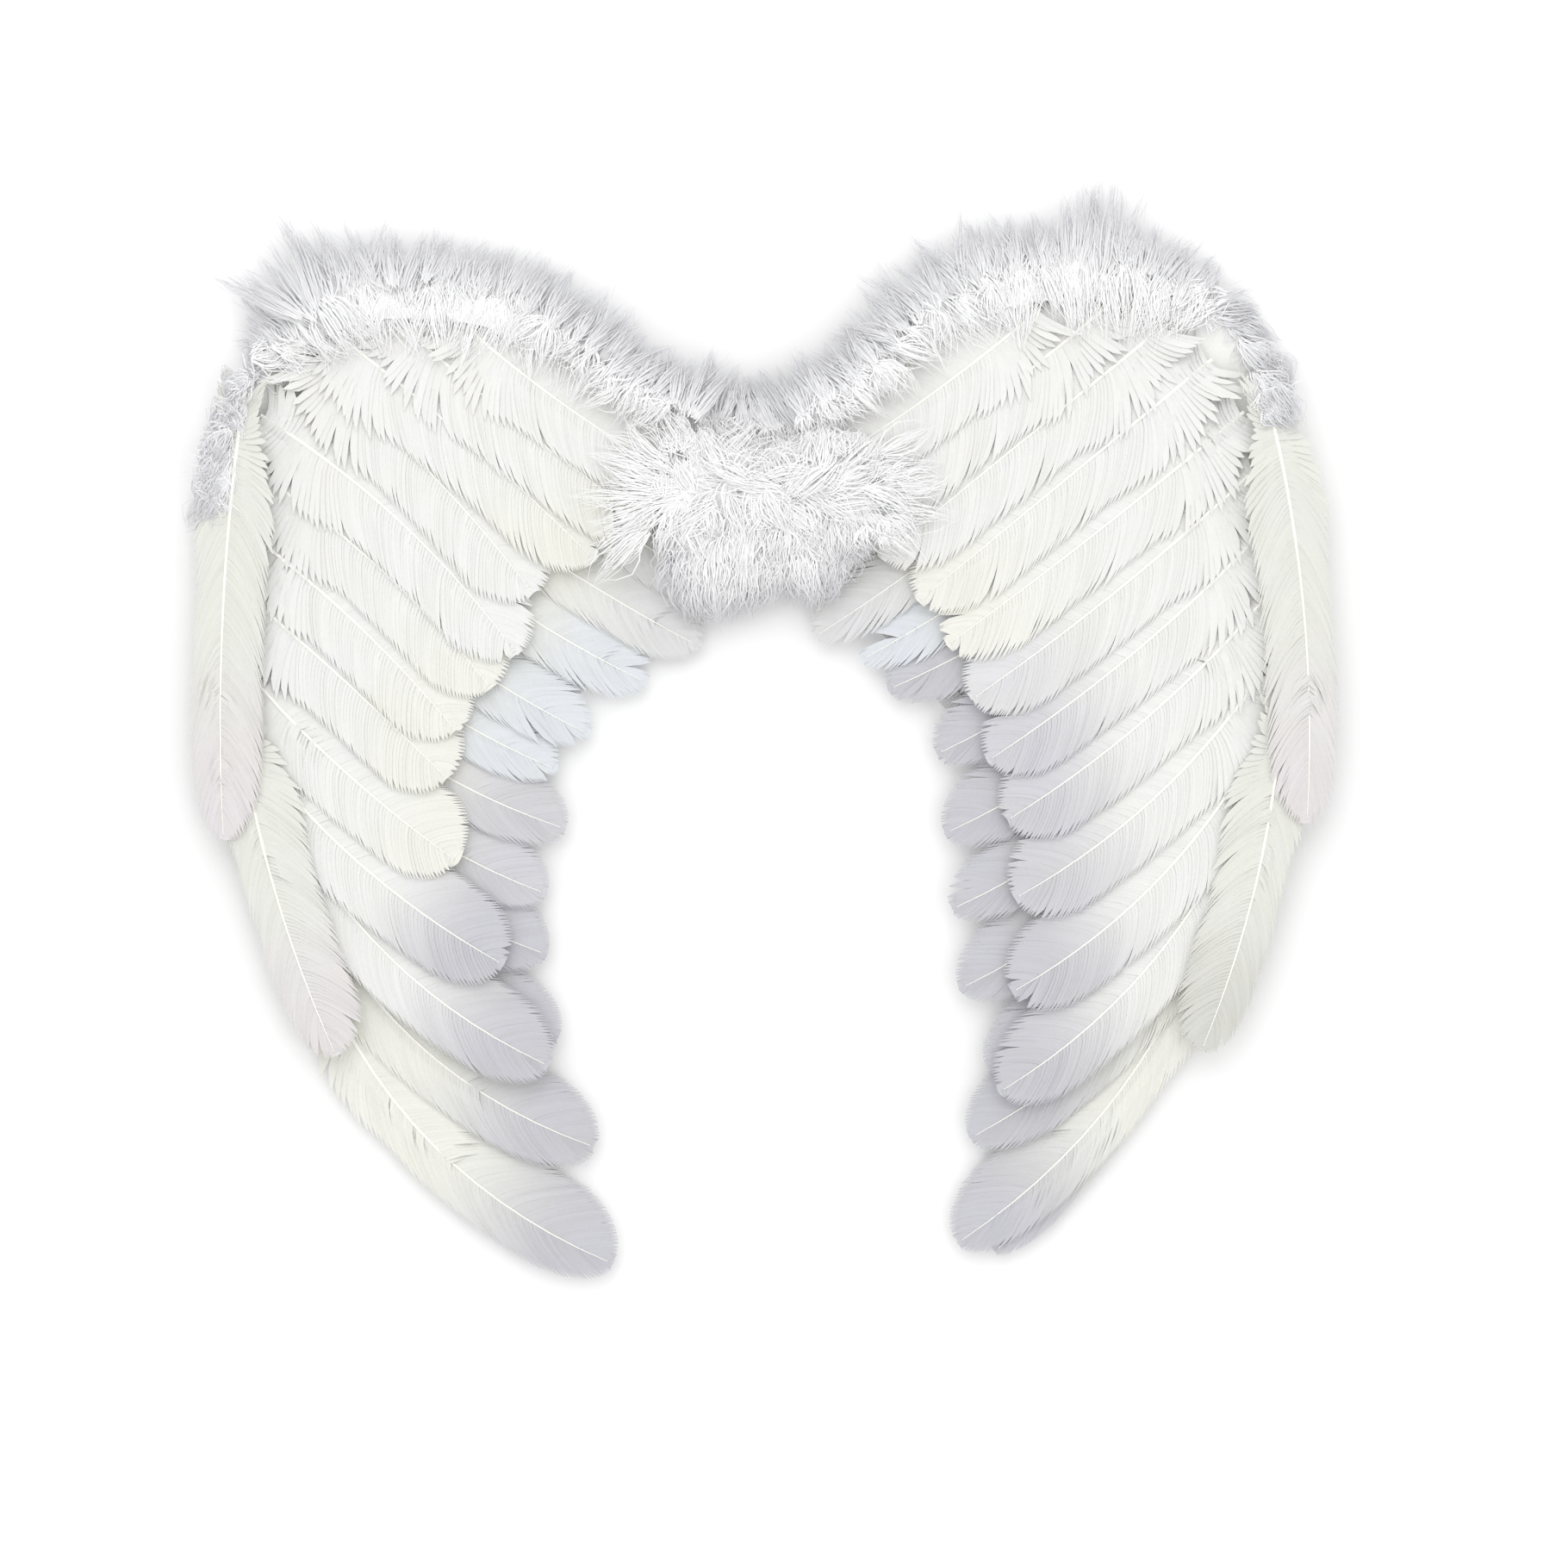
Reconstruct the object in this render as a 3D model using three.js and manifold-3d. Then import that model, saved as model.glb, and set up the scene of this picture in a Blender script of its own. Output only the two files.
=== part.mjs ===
// Costume angel wings of white feathers with marabou trims, lying face up.
// Millimetres. +Z points up out of the front face, +Y runs to the top of the wings.
// The wings are laid out from the middle of their lower edge, then centred on their box.

import * as THREE from "three";
import { mergeVertices } from "three/addons/utils/BufferGeometryUtils.js";
import Module from "manifold-3d";

const wasm = await Module();
wasm.setup();

// Driving dimensions
const wingSpan = 500;
const wingHeight = 477;
const pieceGap = 0.35;

const boardThickness = 2;
const strapWidth = 10;
const strapThickness = 1.2;
const strapPadHeight = 3;
const strapLength = 200;
const strapSpacing = 38;
const strapEndOffset = 34;
const strapAngle = 50;

const flightWidth = 42;
const covertWidth = 46;
const outerWidth = 28;
const vaneThickness = 1;
const shaftRise = 0.5;
const quillWidth = 2.6;
const layTilt = 0.09;
const outerTilt = -0.06;
const flightRise = 2;
const covertRise = 3;

const fluffReach = 25;
const fluffInset = 24;
const fluffHeight = 9;
const centreHeight = 23;
const lockPitch = 5.5;
const lockDepth = 0.18;

// Shares that shape a feather: where its vane starts and is widest, and where its tip rounds off
const vaneStart = 0.03;
const vaneWidest = 0.36;
const tipStart = 0.83;
const tipCrowding = 1.9;
const featherSteps = 11;

const halfSpan = wingSpan / 2;
const boardBack = strapPadHeight + pieceGap;
const boardTop = boardBack + boardThickness;
const leftSide = -1;
const rightSide = 1;

function table(columns, rows) {
  const names = columns.split(" ");
  return rows.map((row) => Object.fromEntries(row.map((value, i) => [names[i], value])));
}

// Edge of the board round one wing, from the valley over the top and outer edge to the bridge's
// lower edge. x is a share of the half span and y of the height. fluff is how far the marabou
// reaches out of the edge, and inset how far over the wing, as shares of their longest.
const leftEdge = table("x y fluff inset", [
  [0.000, 0.771, 0.70, 0.50],
  [0.116, 0.785, 0.85, 0.50],
  [0.213, 0.810, 0.68, 0.65],
  [0.302, 0.853, 0.72, 0.80],
  [0.414, 0.888, 0.68, 1.00],
  [0.548, 0.902, 0.62, 1.00],
  [0.682, 0.900, 0.95, 1.00],
  [0.786, 0.877, 1.34, 0.95],
  [0.860, 0.834, 0.25, 0.50],
  [0.908, 0.771, 0.32, 0.05],
  [0.926, 0.701, 0.58, -0.20],
  [0.927, 0.608, 0, 0],
  [0.917, 0.498, 0, 0],
  [0.882, 0.397, 0, 0],
  [0.815, 0.303, 0, 0],
  [0.726, 0.218, 0, 0],
  [0.629, 0.147, 0, 0],
  [0.533, 0.101, 0, 0],
  [0.491, 0.140, 0, 0],
  [0.496, 0.225, 0, 0],
  [0.510, 0.311, 0, 0],
  [0.503, 0.397, 0, 0],
  [0.458, 0.463, 0, 0],
  [0.369, 0.518, 0, 0],
  [0.250, 0.569, 0, 0],
  [0.131, 0.615, 0, 0],
  [0.000, 0.650, 0, 0],
]);
const rightEdge = table("x y fluff inset", [
  [0.000, 0.771, 0.70, 0.50],
  [0.115, 0.791, 0.80, 0.50],
  [0.204, 0.830, 0.75, 0.65],
  [0.278, 0.873, 0.85, 0.80],
  [0.382, 0.906, 0.85, 1.00],
  [0.501, 0.920, 0.70, 1.00],
  [0.585, 0.921, 1.30, 1.00],
  [0.660, 0.916, 0.75, 1.00],
  [0.740, 0.900, 0.60, 1.00],
  [0.814, 0.873, 0.62, 0.85],
  [0.859, 0.834, 0.52, 0.55],
  [0.896, 0.779, 0.30, 0.20],
  [0.926, 0.709, 0, 0],
  [0.948, 0.608, 0, 0],
  [0.940, 0.498, 0, 0],
  [0.896, 0.405, 0, 0],
  [0.836, 0.311, 0, 0],
  [0.762, 0.225, 0, 0],
  [0.658, 0.155, 0, 0],
  [0.561, 0.112, 0, 0],
  [0.516, 0.147, 0, 0],
  [0.501, 0.233, 0, 0],
  [0.494, 0.311, 0, 0],
  [0.487, 0.397, 0, 0],
  [0.457, 0.467, 0, 0],
  [0.375, 0.522, 0, 0],
  [0.256, 0.573, 0, 0],
  [0.137, 0.615, 0, 0],
  [0.000, 0.650, 0, 0],
]);

// Outline of the marabou over the bridge, with x positive to the right wing
const centreEdge = table("x y", [
  [0.250, 0.690],
  [0.200, 0.752],
  [0.020, 0.748],
  [-0.170, 0.748],
  [-0.215, 0.690],
  [-0.175, 0.598],
  [-0.050, 0.594],
  [0.050, 0.612],
  [0.150, 0.608],
]);
const centreMiddle = { x: 0.022, y: 0.705 };

// Feathers in the order they are glued on. Roots and tips are shares of the half span and height,
// bow is a share of the feather's length towards the outer edge, width a share of the widest
// feather of its kind, and shaft the share of that width on the outer side of the shaft.
const featherColumns = "rootX rootY tipX tipY bow width shaft";
const flightLeft = table(featherColumns, [
  [0.765, 0.280, 0.248, 0.007, 0.105, 1.00, 0.38],
  [0.793, 0.362, 0.278, 0.113, 0.110, 0.98, 0.44],
  [0.842, 0.432, 0.342, 0.213, 0.100, 0.92, 0.42],
  [0.872, 0.502, 0.364, 0.289, 0.090, 0.90, 0.42],
  [0.887, 0.557, 0.364, 0.344, 0.080, 0.84, 0.42],
  [0.890, 0.615, 0.330, 0.403, 0.080, 0.86, 0.42],
  [0.860, 0.654, 0.347, 0.457, 0.060, 0.80, 0.42],
  [0.808, 0.697, 0.290, 0.489, 0.050, 0.82, 0.44],
  [0.726, 0.732, 0.190, 0.536, 0.040, 0.88, 0.44],
  [0.644, 0.764, 0.098, 0.569, 0.030, 0.88, 0.44],
  [0.562, 0.799, 0.045, 0.615, 0.020, 0.85, 0.44],
]);
const flightRight = table(featherColumns, [
  [0.790, 0.300, 0.412, 0.018, 0.062, 0.62, 0.36],
  [0.799, 0.342, 0.348, 0.026, 0.090, 0.92, 0.40],
  [0.836, 0.405, 0.370, 0.122, 0.100, 0.92, 0.42],
  [0.859, 0.467, 0.400, 0.185, 0.100, 0.86, 0.42],
  [0.873, 0.530, 0.352, 0.258, 0.090, 0.90, 0.42],
  [0.881, 0.584, 0.337, 0.330, 0.080, 0.88, 0.42],
  [0.873, 0.639, 0.326, 0.399, 0.070, 0.90, 0.42],
  [0.836, 0.686, 0.311, 0.471, 0.060, 0.85, 0.42],
  [0.777, 0.729, 0.229, 0.530, 0.050, 0.85, 0.44],
  [0.702, 0.764, 0.182, 0.557, 0.040, 0.80, 0.44],
  [0.613, 0.795, 0.101, 0.578, 0.030, 0.80, 0.44],
]);
const covertLeft = table(featherColumns, [
  [0.827, 0.428, 0.357, 0.188, 0.090, 0.88, 0.44],
  [0.860, 0.467, 0.436, 0.280, 0.050, 0.95, 0.46],
  [0.882, 0.545, 0.518, 0.374, 0.030, 0.95, 0.46],
  [0.882, 0.615, 0.533, 0.448, -0.010, 0.95, 0.48],
  [0.875, 0.670, 0.518, 0.491, -0.030, 0.92, 0.48],
  [0.860, 0.725, 0.458, 0.530, -0.040, 0.95, 0.48],
  [0.860, 0.779, 0.414, 0.561, -0.050, 0.95, 0.50],
  [0.786, 0.834, 0.384, 0.615, -0.030, 0.95, 0.50],
  [0.763, 0.866, 0.280, 0.647, -0.020, 0.98, 0.50],
  [0.637, 0.873, 0.176, 0.678, 0.020, 1.00, 0.50],
  [0.518, 0.866, 0.116, 0.717, 0.030, 0.95, 0.50],
]);
const covertRight = table(featherColumns, [
  [0.845, 0.420, 0.420, 0.165, 0.080, 0.88, 0.44],
  [0.862, 0.475, 0.440, 0.255, 0.070, 0.92, 0.46],
  [0.875, 0.545, 0.445, 0.340, 0.060, 0.95, 0.46],
  [0.885, 0.615, 0.430, 0.410, 0.040, 0.95, 0.48],
  [0.880, 0.675, 0.400, 0.465, 0.030, 0.92, 0.48],
  [0.865, 0.730, 0.370, 0.520, 0.020, 0.95, 0.48],
  [0.845, 0.782, 0.330, 0.570, 0.010, 0.95, 0.50],
  [0.790, 0.830, 0.280, 0.610, 0.000, 0.95, 0.50],
  [0.710, 0.862, 0.215, 0.650, 0.000, 0.98, 0.50],
  [0.600, 0.875, 0.150, 0.690, 0.010, 1.00, 0.50],
  [0.490, 0.875, 0.110, 0.730, 0.020, 0.95, 0.50],
]);
const outerLeft = table(featherColumns, [
  [0.900, 0.520, 0.726, 0.197, 0.038, 1.02, 0.50],
  [0.884, 0.800, 0.920, 0.392, 0.025, 0.95, 0.50],
]);
const outerRight = table(featherColumns, [
  [0.908, 0.514, 0.768, 0.202, 0.042, 1.00, 0.50],
  [0.876, 0.805, 0.950, 0.408, 0.040, 0.98, 0.50],
]);

function place(x, y, side) {
  return new THREE.Vector2(side * x * halfSpan, y * wingHeight);
}

function scatter(index, seed) {
  return THREE.MathUtils.seededRandom(1 + index * 31 + seed * 977);
}

// A map of the highest point of all that has been laid so far
const pileCell = 0.8;
const sampleShare = 0.7;
const pileMargin = 2 * fluffReach;
const pileColumns = Math.ceil((wingSpan + 2 * pileMargin) / pileCell);
const pileRows = Math.ceil((wingHeight + 2 * pileMargin) / pileCell);
const pile = new Float32Array(pileColumns * pileRows).fill(-Infinity);

function pileColumn(x) {
  return Math.floor((x + halfSpan + pileMargin) / pileCell);
}

function pileRow(y) {
  return Math.floor((y + pileMargin) / pileCell);
}

function raisePile(x, y, top) {
  const column = pileColumn(x);
  const row = pileRow(y);
  if (column < 0 || row < 0 || column >= pileColumns || row >= pileRows) return;
  const spot = row * pileColumns + column;
  pile[spot] = Math.max(pile[spot], top);
}

function pileTop(x, y, around) {
  const cells = Math.ceil(around / pileCell);
  const firstRow = Math.max(pileRow(y) - cells, 0);
  const lastRow = Math.min(pileRow(y) + cells, pileRows - 1);
  const firstColumn = Math.max(pileColumn(x) - cells, 0);
  const lastColumn = Math.min(pileColumn(x) + cells, pileColumns - 1);
  let top = -Infinity;
  for (let row = firstRow; row <= lastRow; row++) {
    for (let column = firstColumn; column <= lastColumn; column++) {
      top = Math.max(top, pile[row * pileColumns + column]);
    }
  }
  return top;
}

// Closed solids
function closedSolid(corners, triangles) {
  const geometry = new THREE.BufferGeometry();
  geometry.setAttribute("position", new THREE.Float32BufferAttribute(corners.flat(), 3));
  let volume = 0;
  for (const [a, b, c] of triangles) {
    const first = new THREE.Vector3(...corners[a]);
    const second = new THREE.Vector3(...corners[b]);
    volume += first.dot(second.cross(new THREE.Vector3(...corners[c])));
  }
  const outward = volume > 0 ? triangles : triangles.map(([a, b, c]) => [a, c, b]);
  geometry.setIndex(outward.flat());
  return geometry;
}

// Joins rings of equal size into a tube, with its two end rings filled
function loft(rings, fillRing) {
  const size = rings[0].length;
  const triangles = [];
  for (let i = 0; i + 1 < rings.length; i++) {
    for (let k = 0; k < size; k++) {
      const a = i * size + k;
      const b = i * size + (k + 1) % size;
      triangles.push([a, b, b + size], [a, b + size, a + size]);
    }
  }
  const last = (rings.length - 1) * size;
  for (const [a, b, c] of fillRing(rings[0])) triangles.push([c, b, a]);
  for (const [a, b, c] of fillRing(rings.at(-1))) triangles.push([last + a, last + b, last + c]);
  return closedSolid(rings.flat(), triangles);
}

function sheen(color, roughness) {
  return new THREE.MeshStandardMaterial({ color, roughness, metalness: 0 });
}

function named(name, geometry, material) {
  const mesh = new THREE.Mesh(geometry, material);
  mesh.name = name;
  return mesh;
}

// Backing board: one sheet for both wings and the bridge between them
function edgeCurve(side) {
  const near = side < 0 ? leftEdge : rightEdge;
  const far = side < 0 ? rightEdge : leftEdge;
  const nearPoints = near.map((row) => place(row.x, row.y, side));
  const farPoints = far.slice(1, -1).reverse().map((row) => place(row.x, row.y, -side));
  const points = [...nearPoints, ...farPoints].map((point) => new THREE.Vector3(point.x, point.y, 0));
  return new THREE.CatmullRomCurve3(points, true);
}

function backingBoard() {
  const curve = edgeCurve(leftSide);
  const stepsPerRow = 2;
  const outline = [];
  const count = curve.points.length * stepsPerRow;
  for (let i = 0; i < count; i++) {
    const point = curve.getPoint(i / count);
    outline.push(new THREE.Vector2(point.x, point.y));
  }
  const geometry = new THREE.ExtrudeGeometry(new THREE.Shape(outline), {
    depth: boardThickness,
    bevelEnabled: false,
  });
  geometry.translate(0, 0, boardBack);
  layBoard(outline);
  return named("backing_board", geometry, sheen(0xf2f2ee, 0.9));
}

function layBoard(outline) {
  for (let y = 0; y < wingHeight; y += pileCell) {
    const crossings = [];
    outline.forEach((from, i) => {
      const to = outline[(i + 1) % outline.length];
      if (from.y <= y !== to.y <= y) {
        crossings.push(from.x + (y - from.y) / (to.y - from.y) * (to.x - from.x));
      }
    });
    crossings.sort((a, b) => a - b);
    for (let i = 0; i + 1 < crossings.length; i += 2) {
      for (let x = crossings[i]; x <= crossings[i + 1]; x += pileCell) raisePile(x, y, boardTop);
      raisePile(crossings[i + 1], y, boardTop);
    }
  }
}

// Elastic strap: a flat loop folded square at its far end, under the wing, sewn to the bridge
function solidOf(geometry) {
  geometry.deleteAttribute("normal");
  geometry.deleteAttribute("uv");
  const merged = mergeVertices(geometry, 1e-4);
  const vertProperties = new Float32Array(merged.attributes.position.array);
  const triVerts = new Uint32Array(merged.index.array);
  return new wasm.Manifold(new wasm.Mesh({ numProp: 3, vertProperties, triVerts }));
}

function geometryOf(solid) {
  const mesh = solid.getMesh();
  const geometry = new THREE.BufferGeometry();
  geometry.setAttribute("position", new THREE.Float32BufferAttribute(mesh.vertProperties, 3));
  geometry.setIndex([...mesh.triVerts]);
  return geometry;
}

function flatPiece(points, from, to) {
  const shape = new THREE.Shape(points.map(([x, y]) => new THREE.Vector2(x, y)));
  const geometry = new THREE.ExtrudeGeometry(shape, { depth: to - from, bevelEnabled: false });
  return geometry.translate(0, 0, from);
}

function elasticStrap(side, name) {
  const outer = strapSpacing / 2 + strapWidth / 2;
  const inner = strapSpacing / 2 - strapWidth / 2;
  const end = strapLength;
  const band = flatPiece([
    [0, -outer], [end - strapWidth, -outer], [end, -inner], [end, inner], [end - strapWidth, outer],
    [0, outer], [0, inner], [end - strapWidth, inner], [end - strapWidth, -inner], [0, -inner],
  ], 0, strapThickness);
  const foldTop = 2 * strapThickness;
  const sunk = strapThickness / 2;
  const folds = [-1, 1].map((turn) => flatPiece([
    [end - strapWidth, turn * inner], [end, turn * inner], [end - strapWidth, turn * outer],
  ], sunk, foldTop));
  const padLength = 1.5 * strapWidth;
  const pads = [-1, 1].map((turn) => flatPiece([
    [0, turn * inner], [padLength, turn * inner], [padLength, turn * outer], [0, turn * outer],
  ], sunk, strapPadHeight));
  let solid = solidOf(band);
  for (const extra of [...folds, ...pads]) solid = solid.add(solidOf(extra));
  const geometry = geometryOf(solid);
  const down = THREE.MathUtils.degToRad(strapAngle);
  geometry.rotateZ(side < 0 ? Math.PI + down : -down);
  const middle = (leftEdge[0].y + leftEdge.at(-1).y) / 2 * wingHeight;
  geometry.translate(side * strapEndOffset, middle, 0);
  return named(name, geometry, sheen(0xf4f4f4, 0.8));
}

// Feathers: each is a thin vane on a raised shaft, dropped until it lies on the pile
function featherStations(row, side, kind) {
  const root = place(row.rootX, row.rootY, side);
  const tip = place(row.tipX, row.tipY, side);
  const run = tip.clone().sub(root);
  const outward = new THREE.Vector2(-run.y, run.x).multiplyScalar(side);
  const bend = root.clone().add(tip).multiplyScalar(0.5).addScaledVector(outward, 2 * row.bow);
  const shaft = new THREE.QuadraticBezierCurve(root, bend, tip);
  const width = kind.width * row.width;
  const quill = quillWidth / 2;
  const stations = [];
  for (let i = 0; i <= featherSteps; i++) {
    const along = 1 - (1 - i / featherSteps) ** tipCrowding;
    const middle = shaft.getPoint(along);
    const heading = shaft.getTangent(along);
    const share = vaneShare(along);
    stations.push({
      middle,
      across: new THREE.Vector2(-heading.y, heading.x).multiplyScalar(side),
      outer: quill + (width * row.shaft - quill) * share,
      inner: quill + (width * (1 - row.shaft) - quill) * share,
      base: kind.rise * along,
      tilt: kind.tilt,
    });
  }
  return stations;
}

function vaneShare(along) {
  const widening = THREE.MathUtils.smoothstep(along, vaneStart, vaneWidest);
  const rounding = Math.max(along - tipStart, 0) / (1 - tipStart);
  return widening * Math.sqrt(1 - rounding ** 2);
}

function stationSpot(station, offset) {
  const under = station.base + station.tilt * offset;
  const fromShaft = offset > 0 ? offset / station.outer : -offset / station.inner;
  return {
    x: station.middle.x + station.across.x * offset,
    y: station.middle.y + station.across.y * offset,
    under,
    over: under + vaneThickness + shaftRise * (1 - fromShaft),
  };
}

// Walks over a feather in steps finer than the pile's cells
function overFeather(stations, visit) {
  const step = pileCell * sampleShare;
  for (let i = 0; i + 1 < stations.length; i++) {
    const from = stations[i];
    const to = stations[i + 1];
    const alongSteps = Math.ceil(from.middle.distanceTo(to.middle) * 1.2 / step);
    const acrossSteps = Math.ceil(Math.max(from.outer + from.inner, to.outer + to.inner) / step);
    for (let j = 0; j <= acrossSteps; j++) {
      const share = j / acrossSteps;
      const near = stationSpot(from, THREE.MathUtils.lerp(-from.inner, from.outer, share));
      const far = stationSpot(to, THREE.MathUtils.lerp(-to.inner, to.outer, share));
      for (let k = 0; k <= alongSteps; k++) {
        const mix = k / alongSteps;
        const between = (name) => THREE.MathUtils.lerp(near[name], far[name], mix);
        visit(between("x"), between("y"), between("under"), between("over"));
      }
    }
  }
}

function feather(row, side, kind, name) {
  const stations = featherStations(row, side, kind);
  let lift = boardTop + pieceGap;
  overFeather(stations, (x, y, under) => {
    lift = Math.max(lift, pileTop(x, y, pileCell) + pieceGap - under);
  });
  overFeather(stations, (x, y, under, over) => raisePile(x, y, lift + over));
  const rings = stations.map((station) => {
    const outer = stationSpot(station, station.outer);
    const inner = stationSpot(station, -station.inner);
    const shaft = stationSpot(station, 0);
    return [
      [outer.x, outer.y, lift + outer.under],
      [outer.x, outer.y, lift + outer.over],
      [shaft.x, shaft.y, lift + shaft.over],
      [inner.x, inner.y, lift + inner.over],
      [inner.x, inner.y, lift + inner.under],
      [shaft.x, shaft.y, lift + shaft.under],
    ];
  });
  const fill = () => [[0, 1, 5], [1, 2, 5], [2, 3, 5], [3, 4, 5]];
  return named(name, loft(rings, fill), sheen(kind.color, 0.6));
}

const flightKind = { width: flightWidth, rise: flightRise, tilt: layTilt, color: 0xe9e9ee };
const covertKind = { width: covertWidth, rise: covertRise, tilt: layTilt, color: 0xf7f7f2 };
const outerKind = { width: outerWidth, rise: 0, tilt: outerTilt, color: 0xf4f2f2 };

function featherRow(rows, side, kind, prefix) {
  return rows.map((row, i) => {
    const number = String(i + 1).padStart(2, "0");
    return feather(row, side, kind, `${prefix}_${side < 0 ? "left" : "right"}_${number}`);
  });
}

// Marabou: pointed locks fused to a ridge that lies over the feather roots and round the edge
function overTriangle(a, b, c, visit) {
  const longest = Math.max(Math.hypot(a[0] - b[0], a[1] - b[1]), Math.hypot(b[0] - c[0], b[1] - c[1]),
    Math.hypot(c[0] - a[0], c[1] - a[1]));
  const steps = Math.ceil(longest / (pileCell * sampleShare)) + 1;
  for (let i = 0; i <= steps; i++) {
    for (let j = 0; i + j <= steps; j++) {
      const shares = [i / steps, j / steps, (steps - i - j) / steps];
      const mix = (axis) => a[axis] * shares[0] + b[axis] * shares[1] + c[axis] * shares[2];
      visit(mix(0), mix(1), mix(2), shares);
    }
  }
}

// Lifts the corners of an underside until all of it clears the pile
function settle(corners, triangles) {
  for (const corner of corners) {
    corner[2] = Math.max(boardTop, pileTop(corner[0], corner[1], lockPitch)) + pieceGap;
  }
  for (const triangle of triangles) {
    const around = triangle.map((i) => corners[i]);
    overTriangle(...around, (x, y, z, shares) => {
      const need = pileTop(x, y, pileCell) + pieceGap - z;
      if (need <= 0) return;
      const squares = shares[0] ** 2 + shares[1] ** 2 + shares[2] ** 2;
      around.forEach((corner, k) => { corner[2] += need * shares[k] / squares; });
    });
  }
}

function layOnPile(corners, triangles) {
  for (const triangle of triangles) {
    overTriangle(...triangle.map((i) => corners[i]), (x, y, z) => raisePile(x, y, z));
  }
}

function strip(first, second, third, fourth) {
  return [[first, second, third], [first, third, fourth]];
}

function trimStations(side) {
  const rows = side < 0 ? leftEdge : rightEdge;
  const curve = edgeCurve(side);
  const fluffRows = rows.findIndex((row) => row.fluff === 0) - 1;
  const fineSteps = 200;
  let length = 0;
  for (let i = 0; i < fineSteps; i++) {
    const share = fluffRows / curve.points.length / fineSteps;
    length += curve.getPoint(i * share).distanceTo(curve.getPoint((i + 1) * share));
  }
  const count = Math.round(length / lockPitch);
  const stations = [];
  for (let i = 0; i <= count; i++) {
    const along = fluffRows * i / count;
    const share = along / curve.points.length;
    const point = curve.getPoint(share);
    const heading = curve.getTangent(share);
    const row = Math.min(Math.floor(along), fluffRows - 1);
    const between = (name) => THREE.MathUtils.lerp(rows[row][name], rows[row + 1][name], along - row);
    const outward = new THREE.Vector2(-heading.y, heading.x).multiplyScalar(side);
    const toEnd = (count - i) / count;
    stations.push({ point, outward, fluff: between("fluff"), over: between("inset"), toEnd });
  }
  for (const station of stations) station.clear = clearance(station);
  return stations.map((station, i) => {
    const around = [stations[i - 1], station, stations[i + 1]].filter(Boolean);
    return { ...station, wall: Math.max(...around.map((near) => near.clear)) };
  });
}

// How far out of the board's edge the last feather lies
function clearance({ point, outward }) {
  const step = 1;
  let out = 0;
  while (pileTop(point.x + outward.x * out, point.y + outward.y * out, 2 * pileCell) > -Infinity) {
    out += step;
  }
  return out;
}

const crossSteps = 3;

function trimSizes(station, i, seed) {
  const lock = i % 2 ? 1 + lockDepth : 1 - lockDepth;
  const uneven = 0.85 + 0.3 * scatter(i, seed);
  const taper = Math.min(1, 0.35 + 4 * station.toEnd);
  const inset = Math.max(fluffInset * station.over * (1 + (lock - 1) * 0.7), lockPitch - station.wall);
  const tip = Math.max(fluffReach * station.fluff * lock * uneven, station.wall + lockPitch / 2 * lock);
  const crown = fluffHeight * taper * (1 + (lock - 1) * 0.6) * uneven;
  return { inset, tip, crown };
}

function marabouTrim(side, name) {
  const seed = side < 0 ? 1 : 2;
  const stations = trimStations(side).map((station, i) => ({ ...station, ...trimSizes(station, i, seed) }));
  const spot = (station, out, z) => {
    const x = station.point.x + station.outward.x * out;
    const keptX = side * Math.max(side * x, pieceGap / 2);
    return [keptX, station.point.y + station.outward.y * out, z];
  };
  const under = [];
  const underTriangles = [];
  stations.forEach((station, i) => {
    const spacing = (station.wall + station.inset) / crossSteps;
    for (let k = 0; k <= crossSteps; k++) under.push(spot(station, station.wall - k * spacing, 0));
    if (i === 0) return;
    const far = i * (crossSteps + 1);
    const near = far - crossSteps - 1;
    for (let k = 0; k < crossSteps; k++) {
      underTriangles.push(...strip(near + k, near + k + 1, far + k + 1, far + k));
    }
  });
  settle(under, underTriangles);
  const rings = stations.map((station, i) => {
    const [edge, second, third, inmost] = under.slice(i * (crossSteps + 1), (i + 1) * (crossSteps + 1));
    const { wall, tip, crown } = station;
    const raised = (corner, rise) => [corner[0], corner[1], corner[2] + rise];
    const halfway = (wall + tip) / 2;
    return [
      inmost,
      raised(third, crown * 0.6),
      raised(second, crown),
      raised(edge, crown * 0.85),
      spot(station, halfway, (edge[2] + crown) * 0.75),
      spot(station, tip, (edge[2] + crown) * 0.35),
      spot(station, halfway, 0),
      spot(station, wall, 0),
      edge,
      second,
      third,
    ];
  });
  const fill = () => [
    [0, 1, 10], [1, 9, 10], [1, 2, 9], [2, 8, 9], [2, 3, 8], [3, 4, 8], [4, 7, 8], [4, 6, 7], [4, 5, 6],
  ];
  return { mesh: named(name, loft(rings, fill), sheen(0xf3f3f5, 1)), rings };
}

function layTrim({ rings }) {
  const size = rings[0].length;
  const topCorners = 6;
  const triangles = [];
  for (let i = 0; i + 1 < rings.length; i++) {
    for (let k = 0; k + 1 < topCorners; k++) {
      const a = i * size + k;
      triangles.push(...strip(a, a + 1, a + 1 + size, a + size));
    }
  }
  layOnPile(rings.flat(), triangles);
}

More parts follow.
